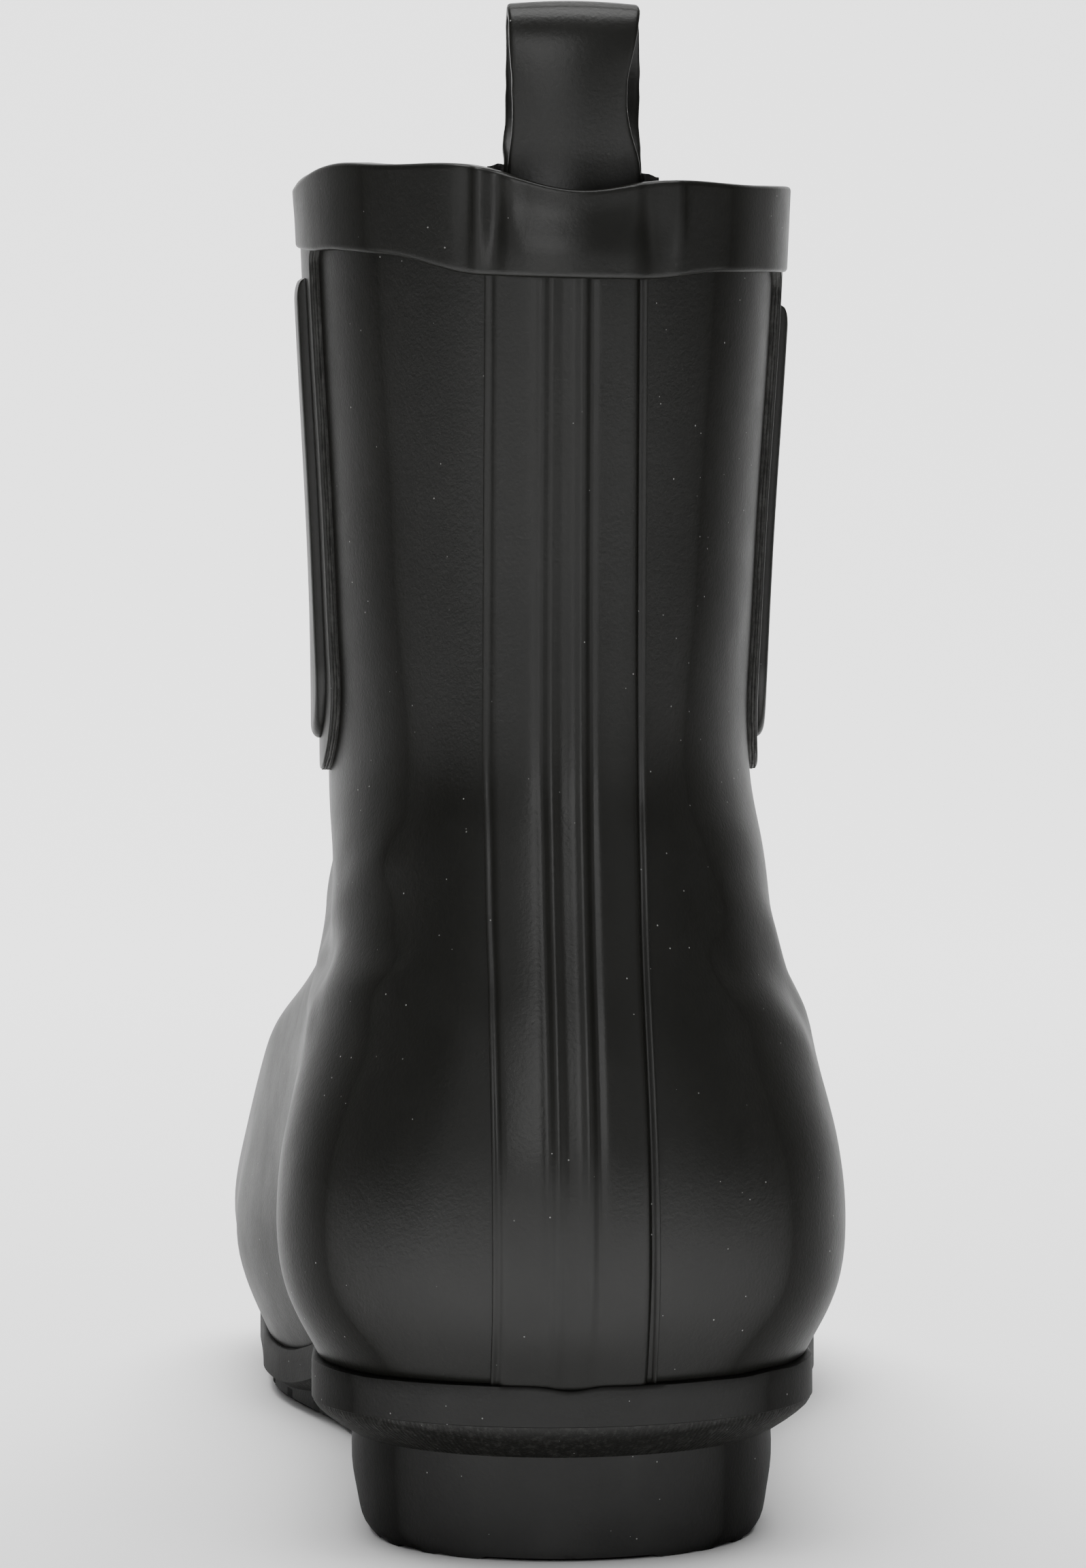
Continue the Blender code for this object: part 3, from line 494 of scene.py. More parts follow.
def back_place(x, z):
    """Level and angle of the point over the upper's back that lies at x and z."""
    level = level_where(lambda level: back_angle(x, level), z)
    return level, back_angle(x, level)


def crease_lines():
    lines = []
    for crease in CREASES:
        first, z = np.array(crease.points).T
        if crease.view == "back":
            place = back_place(first, z)
        else:
            place = side_place(first, z, crease.view)
        lines.append((crease, upper_point(*place)))
    return lines


crease_paths = crease_lines()


def relief(points):
    """How far the rubber's creases lift each point outwards."""
    total = np.zeros(points.shape[:-1])
    for crease, line in crease_paths:
        nearest = np.full(points.shape[:-1], 1.0)
        for start, end in zip(line, line[1:]):
            along = end - start
            share = np.clip((points - start) @ along / (along @ along), 0, 1)
            away = np.linalg.norm(points - start - share[..., None] * along, axis=-1)
            nearest = np.minimum(nearest, away)
        total += crease.height * hump(nearest, crease.width)
    return total


def shell(level, angle, offset):
    level, angle = np.broadcast_arrays(np.asarray(level, float), np.asarray(angle, float))
    return plain_shell(level, angle, offset + relief(upper_point(level, angle)))


def noise(at, pitch, seed):
    """Smooth seeded noise between -1 and 1 along a line."""
    chance = np.random.default_rng(seed)
    count = int(np.max(at) / pitch) + 3
    values = chance.uniform(-1, 1, max(count, 4))
    place = np.asarray(at) / pitch
    low = np.clip(np.floor(place).astype(int), 0, len(values) - 2)
    return values[low] + (values[low + 1] - values[low]) * smooth_step(place - low)


def all_round(steps):
    return np.linspace(-math.pi, math.pi, 2 * steps, endpoint=False)


def show(name, data):
    """An object in the scene that holds the data."""
    made = bpy.data.objects.new(name, data)
    bpy.context.scene.collection.objects.link(made)
    return made


class Builder:
    """Collects points and faces for one piece."""

    def __init__(self):
        self.points, self.faces, self.slots, self.count = [], [], [], 0

    def grid(self, points, closed=False, slot=0):
        rows, columns, _ = points.shape
        order = self.count + np.arange(rows * columns).reshape(rows, columns)
        self.points.append(points.reshape(-1, 3))
        self.count += rows * columns
        after = np.roll(order, -1, axis=1)
        if not closed:
            order, after = order[:, :-1], after[:, :-1]
        quads = np.stack([order[:-1], after[:-1], after[1:], order[1:]], -1).reshape(-1, 4)
        self.faces.append(quads)
        self.slots += [slot] * len(quads)

    def cap(self, ring):
        """Closes an all-round ring by joining its two sides across."""
        half = len(ring) // 2
        left = ring[: half + 1]
        right = ring[np.arange(0, -half - 1, -1) % len(ring)]
        self.grid(np.stack([left, right]))

    def make(self, name, finishes, node, sharp):
        """The finished piece; faces that meet at more than sharp degrees keep a hard edge."""
        mesh = bpy.data.meshes.new(name)
        points = np.concatenate(self.points) + SHIFT
        mesh.from_pydata(points.tolist(), [], np.concatenate(self.faces).tolist())
        mesh.polygons.foreach_set("material_index", self.slots)
        for finish in finishes:
            mesh.materials.append(finish)
        body = bmesh.new()
        body.from_mesh(mesh)
        bmesh.ops.remove_doubles(body, verts=body.verts, dist=3e-6)
        bmesh.ops.dissolve_degenerate(body, edges=body.edges, dist=1e-6)
        bmesh.ops.recalc_face_normals(body, faces=body.faces)
        body.to_mesh(mesh)
        body.free()
        mesh.shade_smooth()
        mesh.set_sharp_from_angle(angle=math.radians(sharp))
        made = show(name, mesh)
        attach(made, "root")
        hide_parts(node)
        return made


def slab(layers, name, finishes, node, sharp, closed=False):
    """A closed piece of trim: its first and last layers are whole, those between shape its rim."""
    layers = np.asarray(layers)
    rim = len(finishes) - 1
    body = Builder()
    body.grid(layers[0], closed)
    body.grid(layers[-1], closed)
    body.grid(layers[:, 0], closed, rim)
    body.grid(layers[:, -1], closed, rim)
    if not closed:
        body.grid(layers[:, :, 0], False, rim)
        body.grid(layers[:, :, -1], False, rim)
    return body.make(name, finishes, node, sharp)


def steps_to_edges(low, high, count, fine):
    """Values from low to high with closer ones near both ends."""
    shares = np.array([0.0, 0.12, 0.30, 0.55, 0.85]) * fine
    middle = np.linspace(low + 1.4 * fine, high - 1.4 * fine, count)
    return np.concatenate([low + shares, middle, high - shares[::-1]])


def rounded(distance, radius):
    """How far a rounded rim lies below its top, at a distance in from its edge."""
    inside = np.clip(distance, 0, radius)
    return radius - np.sqrt(radius**2 - (radius - inside) ** 2)


# Materials


class Shader:
    """Small helper that adds nodes and links them."""

    def __init__(self, name):
        self.material = bpy.data.materials.new(name)
        self.material.use_nodes = True
        self.tree = self.material.node_tree
        self.principled = self.tree.nodes["Principled BSDF"]
        self.object = self.node("ShaderNodeTexCoord").outputs["Object"]

    def feed(self, value, socket):
        """Gives a socket a plain number or colour, or links it to another node's output."""
        if isinstance(value, (float, tuple)):
            socket.default_value = value
        else:
            self.tree.links.new(value, socket)

    def node(self, kind, inputs=None, **settings):
        made = self.tree.nodes.new(kind)
        for key, value in settings.items():
            setattr(made, key, value)
        for key, value in (inputs or {}).items():
            self.feed(value, made.inputs[key])
        return made

    def finish(self, **values):
        """The material, with values for its main shader's inputs."""
        for key, value in values.items():
            self.feed(value, self.principled.inputs[key.replace("_", " ")])
        return self.material

    def noise(self, scale, detail=2.0, roughness=0.5):
        inputs = {"Scale": scale, "Detail": detail, "Roughness": roughness, "Vector": self.object}
        return self.node("ShaderNodeTexNoise", inputs).outputs["Fac"]

    def cells(self, scale, randomness, **settings):
        inputs = {"Scale": scale, "Randomness": randomness, "Vector": self.object}
        return self.node("ShaderNodeTexVoronoi", inputs, **settings).outputs["Distance"]

    def spots(self, scale, size):
        """1 inside small round spots, one in each cell of a loose grid."""
        return self.ramp(self.cells(scale, 1.0), (size * 0.7, 1.0), (size, 0.0))

    def ramp(self, source, start, end):
        """Maps a value between two pairs of (value, result)."""
        inputs = {"Value": source, "From Min": start[0], "From Max": end[0]}
        inputs.update({"To Min": start[1], "To Max": end[1]})
        return self.node("ShaderNodeMapRange", inputs, clamp=True).outputs["Result"]

    def math(self, operation, first, second):
        inputs = {0: first, 1: second}
        return self.node("ShaderNodeMath", inputs, operation=operation).outputs["Value"]

    def mix(self, factor, first, second):
        """A mix of two colours, which are the node's inputs 6 and 7."""
        inputs = {"Factor": factor, 6: first, 7: second}
        return self.node("ShaderNodeMix", inputs, data_type="RGBA").outputs[2]

    def bump(self, height, strength, distance, after=None):
        inputs = {"Strength": strength, "Distance": distance, "Height": height}
        if after is not None:
            inputs["Normal"] = after
        return self.node("ShaderNodeBump", inputs).outputs["Normal"]


RUBBER = (0.0105, 0.0105, 0.0093, 1)
RUBBER_WORN = (0.0165, 0.0164, 0.0150, 1)
SOLE = (0.0100, 0.0100, 0.0092, 1)
SOLE_WORN = (0.0170, 0.0169, 0.0158, 1)
# Painted light: a lighter grey for the bevel's stipple, in place of light bounced up from the pale floor
# onto the downward-facing bevel
BEVEL_PAINTED_FLOOR_LIGHT = (0.030, 0.030, 0.028, 1)
DUST = (0.34, 0.34, 0.33, 1)
CUT = (0.030, 0.030, 0.028, 1)
CUT_LIGHT = (0.062, 0.062, 0.058, 1)
LINING = (0.045, 0.045, 0.047, 1)
LINING_LIGHT = (0.085, 0.085, 0.088, 1)


def rubber_material(name, dark, worn, rough, grain, hatch=False):
    """Satin rubber with cloudy wear, specks of dust and fine grain; hatch adds arced cuts and a lighter
    stipple of painted floor light.
    """
    shader = Shader(name)
    clouds = shader.noise(26.0, 4.0, 0.6)
    fine = shader.noise(1900.0, 2.0, 0.6)
    patches = shader.noise(90.0, 5.0, 0.65)
    colour = shader.mix(shader.ramp(clouds, (0.42, 0.0), (0.72, 0.7)), dark, worn)
    dust = shader.math("MULTIPLY", shader.spots(420.0, 0.062), shader.noise(70.0, 2.0))
    dust = shader.ramp(dust, (0.44, 0.0), (0.56, 0.8))
    colour = shader.mix(dust, colour, DUST)
    roughness = shader.math("MULTIPLY", patches, 0.16)
    roughness = shader.math("ADD", roughness, shader.math("MULTIPLY", fine, 0.06))
    roughness = shader.math("ADD", roughness, rough - 0.11)
    roughness = shader.math("ADD", roughness, shader.math("MULTIPLY", dust, 0.3))
    normal = shader.bump(fine, grain, 0.00012)
    normal = shader.bump(patches, 0.10, 0.0006, normal)
    if hatch:
        # Noise for the bevel's rough cut texture and for its lighter stipple, which is painted light from
        # the floor below
        cuts_and_painted_light = shader.noise(1100.0, 3.0, 0.7)
        colour = shader.mix(shader.ramp(cuts_and_painted_light, (0.50, 0.15), (0.66, 1.0)), colour, BEVEL_PAINTED_FLOOR_LIGHT)
        arc = shader.node("ShaderNodeUVMap", uv_map="arc").outputs["UV"]
        inputs = {"Scale": 420.0, "Distortion": 4.0, "Detail": 2.0, "Vector": arc}
        lines = shader.node("ShaderNodeTexWave", inputs, wave_type="BANDS", bands_direction="X")
        normal = shader.bump(lines.outputs["Fac"], 0.18, 0.0003, normal)
        normal = shader.bump(cuts_and_painted_light, 0.45, 0.0005, normal)
    # The gloss fades where the rubber turns away
    facing = shader.node("ShaderNodeLayerWeight", {"Blend": 0.5}).outputs["Facing"]
    gloss = shader.ramp(facing, (0.10, 0.44), (0.46, 0.02))
    return shader.finish(
        Base_Color=colour, Roughness=roughness, Normal=normal, Specular_IOR_Level=gloss, IOR=1.5
    )


def cut_material(name):
    """Rubber's rough cut edges: layered and matte."""
    shader = Shader(name)
    coarse = shader.noise(900.0, 4.0, 0.7)
    colour = shader.mix(shader.ramp(coarse, (0.4, 0.0), (0.7, 0.8)), CUT, CUT_LIGHT)
    normal = shader.bump(coarse, 0.5, 0.0004)
    return shader.finish(Base_Color=colour, Roughness=0.70, Normal=normal)


def lining_material(name):
    """Knitted lining: rows of small loops."""
    shader = Shader(name)
    knit = shader.cells(850.0, 0.25, distance="CHEBYCHEV")
    clouds = shader.noise(60.0, 3.0, 0.6)
    shade = shader.math("ADD", knit, shader.math("MULTIPLY", clouds, 0.5))
    colour = shader.mix(shader.ramp(shade, (0.3, 1.0), (0.9, 0.0)), LINING, LINING_LIGHT)
    normal = shader.bump(knit, 0.6, 0.0004)
    return shader.finish(Base_Color=colour, Roughness=0.92, Normal=normal)


rubber = rubber_material("upper_rubber_look", RUBBER, RUBBER_WORN, 0.36, 0.30)
trim = rubber_material("trim_rubber_look", RUBBER, RUBBER_WORN, 0.35, 0.22)
sole = rubber_material("sole_rubber_look", SOLE, SOLE_WORN, 0.55, 0.40)
bevel = rubber_material("sole_hatched_look", SOLE, SOLE_WORN, 0.58, 0.40, hatch=True)
cut_edge = cut_material("cut_edge_look")
lining = lining_material("lining_look")


# Upper

UPPER_STEPS = 136
UPPER_ROWS = 150
LINING_ROWS = 44
RIM_ROUND = 0.0007


def make_upper():
    angle = all_round(UPPER_STEPS)
    body = Builder()
    outer = np.concatenate([np.linspace(0, FOXING_LEVEL, 3)[:-1], np.linspace(FOXING_LEVEL, 1, UPPER_ROWS)])
    rows = [shell(level, angle, 0.0) for level in outer[:-1]]
    for depth in steps_to_edges(0.0, WALL, 4, RIM_ROUND):
        row = shell(1.0, angle, -depth)
        row[:, 2] -= rounded(min(depth, WALL - depth), RIM_ROUND)
        rows.append(row)
    body.grid(np.array(rows), True, 0)
    inner = [rows[-1]] + [shell(level, angle, -WALL) for level in np.linspace(0.992, 0, LINING_ROWS)]
    body.grid(np.array(inner), True, 1)
    body.grid(np.array([inner[-1], rows[0]]), True, 0)
    return body.make("upper_shell", [rubber, lining], "upper", sharp=60)


BAND_LEVEL = float(level_where(lambda level: 0 * level, np.array(BACK_TOP - BAND_HEIGHT)))
BAND_ROUND = 0.0006

# The sag of the band's lower edge over the stay, its reach and fade, and the sag at its inner end
BAND_SAG = 0.0014
BAND_SAG_REACH = 0.0215
BAND_SAG_FADE = 0.011
BAND_END_SAG = 0.0006

# Vertical folds of the band over the stay: metres across, height, half width
BAND_FOLDS = (
    Bead(-0.0123, -0.0005, 0.0010),
    Bead(-0.0111, 0.0005, 0.0009),
    Bead(-0.0091, -0.0009, 0.0013),
    Bead(0.0107, -0.0009, 0.0016),
    Bead(0.0140, 0.0005, 0.0011),
)


def make_band():
    angle = all_round(260)
    distance = steps_to_edges(0.0, BAND_HEIGHT, 12, BAND_ROUND)
    level = BAND_LEVEL + (1 - BAND_LEVEL) * distance / BAND_HEIGHT
    level, angle = np.meshgrid(level, angle, indexing="ij")
    distance = np.broadcast_to(distance[:, None], level.shape)
    x = upper_point(level, angle)[..., 0]
    behind = np.cos(angle) > 0
    up = distance / BAND_HEIGHT
    folds = sum(fold.height * hump(x - fold.across, fold.width) for fold in BAND_FOLDS)
    between = smooth_step((0.0105 - np.abs(x - 0.0008)) / 0.0045)
    folds = folds * (0.35 + 0.65 * smooth_step(up * 1.6))
    folds += between * (0.0003 - 0.0011 * smooth_step((up - 0.25) / 0.55))
    wave = 0.00008 * noise((angle + math.pi) * 0.034, 0.006, 5)
    rim = rounded(np.minimum(distance, BAND_HEIGHT - distance), BAND_ROUND)
    top = shell(level, angle, BAND_THICKNESS - rim + np.where(behind, folds, 0) + wave)
    bottom = shell(level, angle, -BEDDING)
    sag = BAND_SAG * (1 - 18 * x) * smooth_step((BAND_SAG_REACH - np.abs(x + 0.0005)) / BAND_SAG_FADE)
    sag += BAND_END_SAG * smooth_step((-0.0285 - x) / 0.004)
    sag = np.where(behind, sag * np.clip(np.cos(angle) * 3, 0, 1), 0) * (1 - smooth_step(up))
    top[..., 2] -= sag
    bottom[..., 2] -= sag
    return slab([bottom, top], "collar_band_look", [trim], "collar_band", 60, closed=True)


# The grooves beside the stay's edges: place in from the edge, half width, inner and outer depth
STAY_GROOVE_INSET = 0.0009
STAY_GROOVE_WIDTH = 0.0005
STAY_GROOVE_DEPTHS = (0.0003, 0.0008)


def make_stay():
    """The strip down the back, with its two beads, which fade out above the foxing."""
    half = STAY_WIDTH / 2
    ends = np.array([float(edge_line(0.0)) - 0.0012, BACK_TOP - BAND_HEIGHT + 0.001])
    low, high = level_where(lambda level: 0 * level, ends)
    levels = np.linspace(low, high, 150)
    across = steps_to_edges(-half, half, 60, 0.0006)
    beside = half - STAY_GROOVE_INSET + np.linspace(-0.0006, 0.0003, 8)
    across = np.sort(np.concatenate([across, beside, -beside]))
    x, level = np.meshgrid(across, levels)
    height = height_at(level, 0 * level)
    spread = 0.0010 * smooth_step((0.085 - height) / 0.05)
    x = x + spread * np.clip(x / half, 0, 1)
    angle = back_angle(x, level)
    edge = np.abs(np.abs(across) - half)[None, :]
    fade = smooth_step((height - ends[0] + 0.005) / 0.024)
    groove_fade = smooth_step((height - ends[0] - 0.006) / 0.030)
    beads = sum(
        bead.height * hump(across - bead.across, bead.width) * (fade if bead.height > 0 else groove_fade)
        for bead in STAY_BEADS
    )
    tapered = 0.5 + 0.5 * smooth_step((height - ends[0]) / 0.045)
    lift = STAY_THICKNESS * tapered + beads - rounded(edge, 0.0005)
    inner, outer = STAY_GROOVE_DEPTHS
    lift -= np.where(across > 0, outer, inner) * hump(edge - STAY_GROOVE_INSET, STAY_GROOVE_WIDTH)
    layers = [shell(level, angle, -BEDDING), shell(level, angle, lift)]
    return slab(layers, "back_stay_look", [trim], "back_stay", 60)


# Side patches


def band_bottom(y):
    """Height of the collar band's lower edge over the side, at y."""
    ring = ring_at(np.array(BAND_LEVEL))
    return ring_height(ring, y)


def gusset_place(across, share, border, grow, side):
    """(y, z) of a point of the U-shaped patch; grow moves its outline outwards."""
    ring = ring_at(np.array(BAND_LEVEL))
    centre_y = float(ring.back_y + ring.front_y) / 2 + GUSSET_FORWARD
    top_half = GUSSET_TOP_WIDTH / 2 - border + grow
    low_half = GUSSET_LOW_WIDTH / 2 - border + grow
    turn_z = GUSSET_TIP_HEIGHT + GUSSET_LOW_WIDTH / 2
    way = np.clip(share / GUSSET_STRAIGHT_SHARE, 0, 1)
    turned = np.clip((share - GUSSET_STRAIGHT_SHARE) / (1 - GUSSET_STRAIGHT_SHARE), 0, 1)
    half = np.where(
        turned > 0, low_half * np.cos(turned * math.pi / 2), top_half + (low_half - top_half) * way
    )
    top = band_bottom(centre_y + across * half) - (border or -GUSSET_UNDER_BAND)
    tilt = -float(collar_tilt(side))
    z = np.where(
        turned > 0,
        turn_z - low_half * np.sin(turned * math.pi / 2),
        top - tilt + (turn_z - top + tilt) * way,
    )
    if border == 0:
        near_top = np.clip((z - band_bottom(centre_y) + tilt + GUSSET_FILLET) / GUSSET_FILLET, 0, 1)
        half = half + GUSSET_FILLET_REACH * (1 - np.sqrt(1 - near_top**2)) * np.abs(across)
    y = centre_y + across * half
    straight = np.where(turned > 0, 1e9, half * (1 - np.abs(across)))
    bend = low_half - np.hypot(y - centre_y, z - turn_z)
    depth = np.where(turned > 0, np.maximum(bend, 0), straight)
    return y, z, depth


def gusset_grid(rows, columns):
    """Places across and down the patch, closer together at its edges and its top corners."""
    fine = 1 - np.cos(np.linspace(0, math.pi / 2, columns))
    half = np.concatenate([fine[:-1] - 1, -(fine[::-1] - 1)])
    shares = np.concatenate(
        [
            np.linspace(0, GUSSET_FILLET_SHARE, 14, endpoint=False),
            np.linspace(GUSSET_FILLET_SHARE, GUSSET_STRAIGHT_SHARE, rows, endpoint=False),
            GUSSET_STRAIGHT_SHARE
            + (1 - GUSSET_STRAIGHT_SHARE) * np.sin(np.linspace(0, math.pi / 2, rows)),
        ]
    )
    return np.meshgrid(half, shares)


# The patch's cut wall, from the shaft outwards: share of the thickness, growth of the outline.
# Two seams between its layers are drawn in.
CUT_LAYERS = [(-0.15, 0.0), (0.06, 0.00004)]
for seam in (0.31, 0.63):
    CUT_LAYERS += [(seam - 0.07, 0.00010), (seam, 0.0), (seam + 0.07, 0.00008)]
CUT_LAYERS.append((0.84, 0.00006))


def make_gusset(side, name):
    across, share = gusset_grid(44, 18)
    layers = []
    for index, (height, grow) in enumerate(CUT_LAYERS):
        rough = 0.00005 * noise(share * 0.09 + (across > 0) * 0.1, 0.0011, 11 + index + 7 * side)
        y, z, _ = gusset_place(across, share, 0.0, grow + rough, side)
        place = side_place(y, z, side)
        layers.append(shell(*place, np.full_like(y, height * GUSSET_THICKNESS)))
    y, z, depth = gusset_place(across, share, 0.0, 0.0, side)
    place = side_place(y, z, side)
    layers.append(shell(*place, GUSSET_THICKNESS - rounded(depth, 0.0003)))
    return slab(layers, "gusset_patch_" + name, [trim, cut_edge], "gusset_" + name, 50)


PANEL_ROUND = 0.0016


def make_panel(side, name):
    """The stretch panel: a smooth pillow on the patch."""
    across, share = gusset_grid(52, 22)
    y, z, depth = gusset_place(across, share, PANEL_BORDER, 0.0, side)
    place = side_place(y, z, side)
    base = shell(*place, np.full_like(y, GUSSET_THICKNESS - BEDDING))
    top_row = z[:1]
    depth = np.minimum(depth, (top_row - z) * 0.5)
    bulge = PANEL_THICKNESS - rounded(depth, PANEL_ROUND) * PANEL_THICKNESS / PANEL_ROUND
    top = shell(*place, GUSSET_THICKNESS + np.maximum(bulge, 0) + 0.0001)
    return slab([base, top], "stretch_panel_" + name, [trim], "gusset_panel_" + name, 60)


# Pull loop


def collar_inside(x, z):
    """How far forward the space inside the collar begins, at x and z near its back."""
    z = np.minimum(z, BACK_TOP - BAND_THICKNESS)
    outside_x = np.array(x, float)
    for _ in range(4):
        level, angle = back_place(outside_x, z)
        point = plain_shell(level, angle, np.full_like(outside_x, -WALL - GAP / 2))
        outside_x += x - point[..., 0]
    return point[..., 1]


def loop_centre_line():
    """Points (y, z, width share, x shift) of the pull loop's middle, from one hidden end to the other."""
    back_leg = float(collar_inside(0.0, np.array(BACK_TOP))) + LOOP_THICKNESS / 2
    front_leg = back_leg + LOOP_THICKNESS + GAP
    low = BACK_TOP - LOOP_DEPTH_INSIDE
    lean = float(collar_inside(0.0, np.array(low)) - collar_inside(0.0, np.array(BACK_TOP)))
    free = BACK_TOP + ANCHOR_RISE
    held = [(lean, low), (0.0, BACK_TOP - ANCHOR_RISE), (0.0, free)]
    points = [(back_leg + forward, z, 1.0, 0.0) for forward, z in held]
    climb = LOOP_RISE - ANCHOR_RISE - LOOP_THICKNESS / 2
    for forward, up, width, aside in LOOP_PATH:
        points.append((back_leg + forward * LOOP_OPENING, free + up * climb, width, aside))
    points += [(front_leg + forward, z, LOOP_LEG_SHARE, 0.0) for forward, z in held[::-1]]
    return points


LOOP_STEPS = 150


def make_loop():
    """The folded strap. Its edges are rounded and a little uneven, and it is crowned at its top."""
    line = loop_centre_line()
    knots = [0.0]
    for low, high in zip(line, line[1:]):
        knots.append(knots[-1] + math.dist(low[:2], high[:2]))
    path = Spline(knots, line)(np.linspace(0, knots[-1], LOOP_STEPS))
    ahead = np.gradient(path[:, :2], axis=0)
    ahead /= np.linalg.norm(ahead, axis=1, keepdims=True)
    half = LOOP_WIDTH / 2
    across = steps_to_edges(-half, half, 16, 0.0006) / half
    x = np.outer(path[:, 2], across) * half + LOOP_OFFSET + path[:, 3:4]
    uneven = noise(np.arange(LOOP_STEPS) * 0.0006, 0.002, 3)[:, None]
    x += 0.00006 * np.sign(across) * np.abs(across) ** 6 * uneven
    z = path[:, 1:2] + 0 * x
    bow = collar_inside(x, z) - collar_inside(0 * x, z)
    rise = (z - BACK_TOP - ANCHOR_RISE) / (LOOP_RISE - ANCHOR_RISE)
    bow *= 1 - LOOP_FLATTENING * smooth_step(rise)
    crown = 0.0004 * smooth_step(rise) * np.cos(across * math.pi / 2)
    thick = LOOP_THICKNESS / 2 - rounded((1 - np.abs(across)) * half, 0.0005) * 0.8
    outward_y, outward_z = -ahead[:, 1:2], ahead[:, 0:1]
    sides = []
    for sign in (1, -1):
        y = path[:, 0:1] + bow + outward_y * (crown - sign * thick)
        height = z + outward_z * (crown - sign * thick)
        sides.append(np.stack([x, y, height], -1))
    return slab(sides, "pull_loop_look", [trim], "pull_loop", 60)


# How far the patch's top lies below its full height: all along, at its outer end, at both ends
ANCHOR_SINKS = (0.0001, 0.0012, 0.0007)


def make_anchor():
    """The patch over the loop's two ends, with a rough cut upper edge."""
    heights = np.linspace(BACK_TOP - ANCHOR_DEPTH_INSIDE, BACK_TOP + ANCHOR_RISE, 24)
    over_legs = 2 * (LOOP_THICKNESS + GAP)
    leg_edge = LOOP_LEG_SHARE * LOOP_WIDTH / 2 + GAP
    edge = ANCHOR_WIDTH / 2
    across = steps_to_edges(-edge, edge, 40, 0.0006)
    slope = (np.abs(across) - leg_edge) / ((edge - leg_edge) * ANCHOR_SLOPE_SHARE)
    lift = over_legs * (1 - smooth_step(slope * 0.9 + 0.05))
    x, height = np.meshgrid(across + LOOP_OFFSET, heights)
    rough = 0.00022 * noise(across + edge, 0.0009, 21)
    top_share = (heights[:, None] - heights[0]) / (heights[-1] - heights[0])
    y = collar_inside(x, height) + lift
    thickness = ANCHOR_THICKNESS - rounded(edge - np.abs(across), 0.0005)
    sunk, outer_sink, end_sink = ANCHOR_SINKS
    sunk += outer_sink * smooth_step((across - 0.5 * edge) / (0.5 * edge))
    sunk += end_sink * smooth_step((np.abs(across) - 0.8 * edge) / (0.2 * edge))
    height = height + (rough - sunk) * top_share**4
    sides = [np.stack([x, each, height], -1) for each in (y, y + thickness)]
    return slab(sides, "loop_anchor_look", [cut_edge], "loop_anchor", 50)


# Sole


def sole_points(inset, height, angle):
    """The sole's outline, all round, at an inset and at the height that a function of y gives."""
    point = on_ring(sole_ring(inset), angle)
    point[..., 2] = height(point[..., 1])
    return point


# The foxing's side, from below to its top: metres inwards, a line to follow and metres above it
FOXING_PROFILE = (
    (0.00030, flange_line, -0.00070),
    (0.00000, flange_line, -0.00050),
    (0.00000, edge_line, -0.00220),
    (0.00000, edge_line, -0.00080),
    (0.00012, edge_line, -0.00025),
    (0.00040, edge_line, -0.00010),
    (0.00100, edge_line, 0.00005),
    (0.00190, edge_line, -0.00045),
)


def make_foxing():
    """The strip round the foot. Its top edge waves a little and dips at the stay."""
    angle = all_round(260)
    rows = [sole_points(inset, line, angle) + (0, 0, above) for inset, line, above in FOXING_PROFILE]
    dip = -0.0006 * hump(rows[4][:, 0], 0.0030) * (np.cos(angle) > 0.9)
    for row in rows[3:8]:
        row[:, 2] += dip
    wave = 0.00012 * noise((angle + math.pi) * 0.11, 0.009, 31)
    for row in rows[3:7]:
        row[:, 2] += wave
    rows += [shell(0.6 * FOXING_LEVEL, angle, -BEDDING), shell(0.0, angle, -BEDDING), rows[0]]
    body = Builder()
    body.grid(np.array(rows), True)
    return body.make("foxing_look", [sole], "foxing", sharp=50)


# The outsole's side under the foxing: shares of the bevel's inset and height, and its material slot
BEVEL_PROFILE = (
    (0.06, -0.03, 0),
    (0.02, 0.02, 0),
    (0.02, 0.10, 1),
    (0.05, 0.19, 1),
    (0.12, 0.31, 1),
    (0.28, 0.47, 1),
    (0.52, 0.67, 1),
    (0.78, 0.86, 1),
    (0.96, 0.97, 1),
    (1.00, 1.00, 0),
    (1.20, 1.00, 0),
)


def make_plate():
    """The sole's flange and its slanted, hatched bevel, closed above and below."""
    angle = all_round(300)
    rows = []
    for inset, down, _ in BEVEL_PROFILE:
        ring = sole_ring(inset * BEVEL_INSET, front_inset=inset * FRONT_BEVEL_INSET)
        row = on_ring(ring, angle)
        row[:, 2] = flange_line(row[:, 1]) - down * bevel_height(row[:, 1])
        rows.append(row)
    body = Builder()
    body.cap(rows[0])
    for low, high, (_, _, slot) in zip(rows, rows[1:], BEVEL_PROFILE):
        body.grid(np.array([low, high]), True, slot)
    body.cap(rows[-1])
    made = body.make("sole_plate", [sole, bevel], "outsole", sharp=50)
    add_arc_uv(made)
    return made


def add_arc_uv(made):
    """A map whose first value is the distance round the sole, for the bevel's hatching."""
    angle = all_round(1200)
    outline = sole_points(BEVEL_INSET / 2, base_line, angle) + SHIFT
    steps = np.linalg.norm(np.diff(outline[:, :2], axis=0, append=outline[:1, :2]), axis=1)
    arc = np.concatenate([[0], np.cumsum(steps)[:-1]])
    mesh = made.data
    points = np.array([vertex.co for vertex in mesh.vertices])
    nearest = np.array([((outline - point)[:, :2] ** 2).sum(1).argmin() for point in points])
    loops = [corner.vertex_index for corner in mesh.loops]
    uv = np.stack([arc[nearest][loops], points[loops][:, 2]], -1)
    layer = mesh.uv_layers.new(name="arc")
    layer.data.foreach_set("uv", uv.ravel())


BLOCK_SHARP = 35


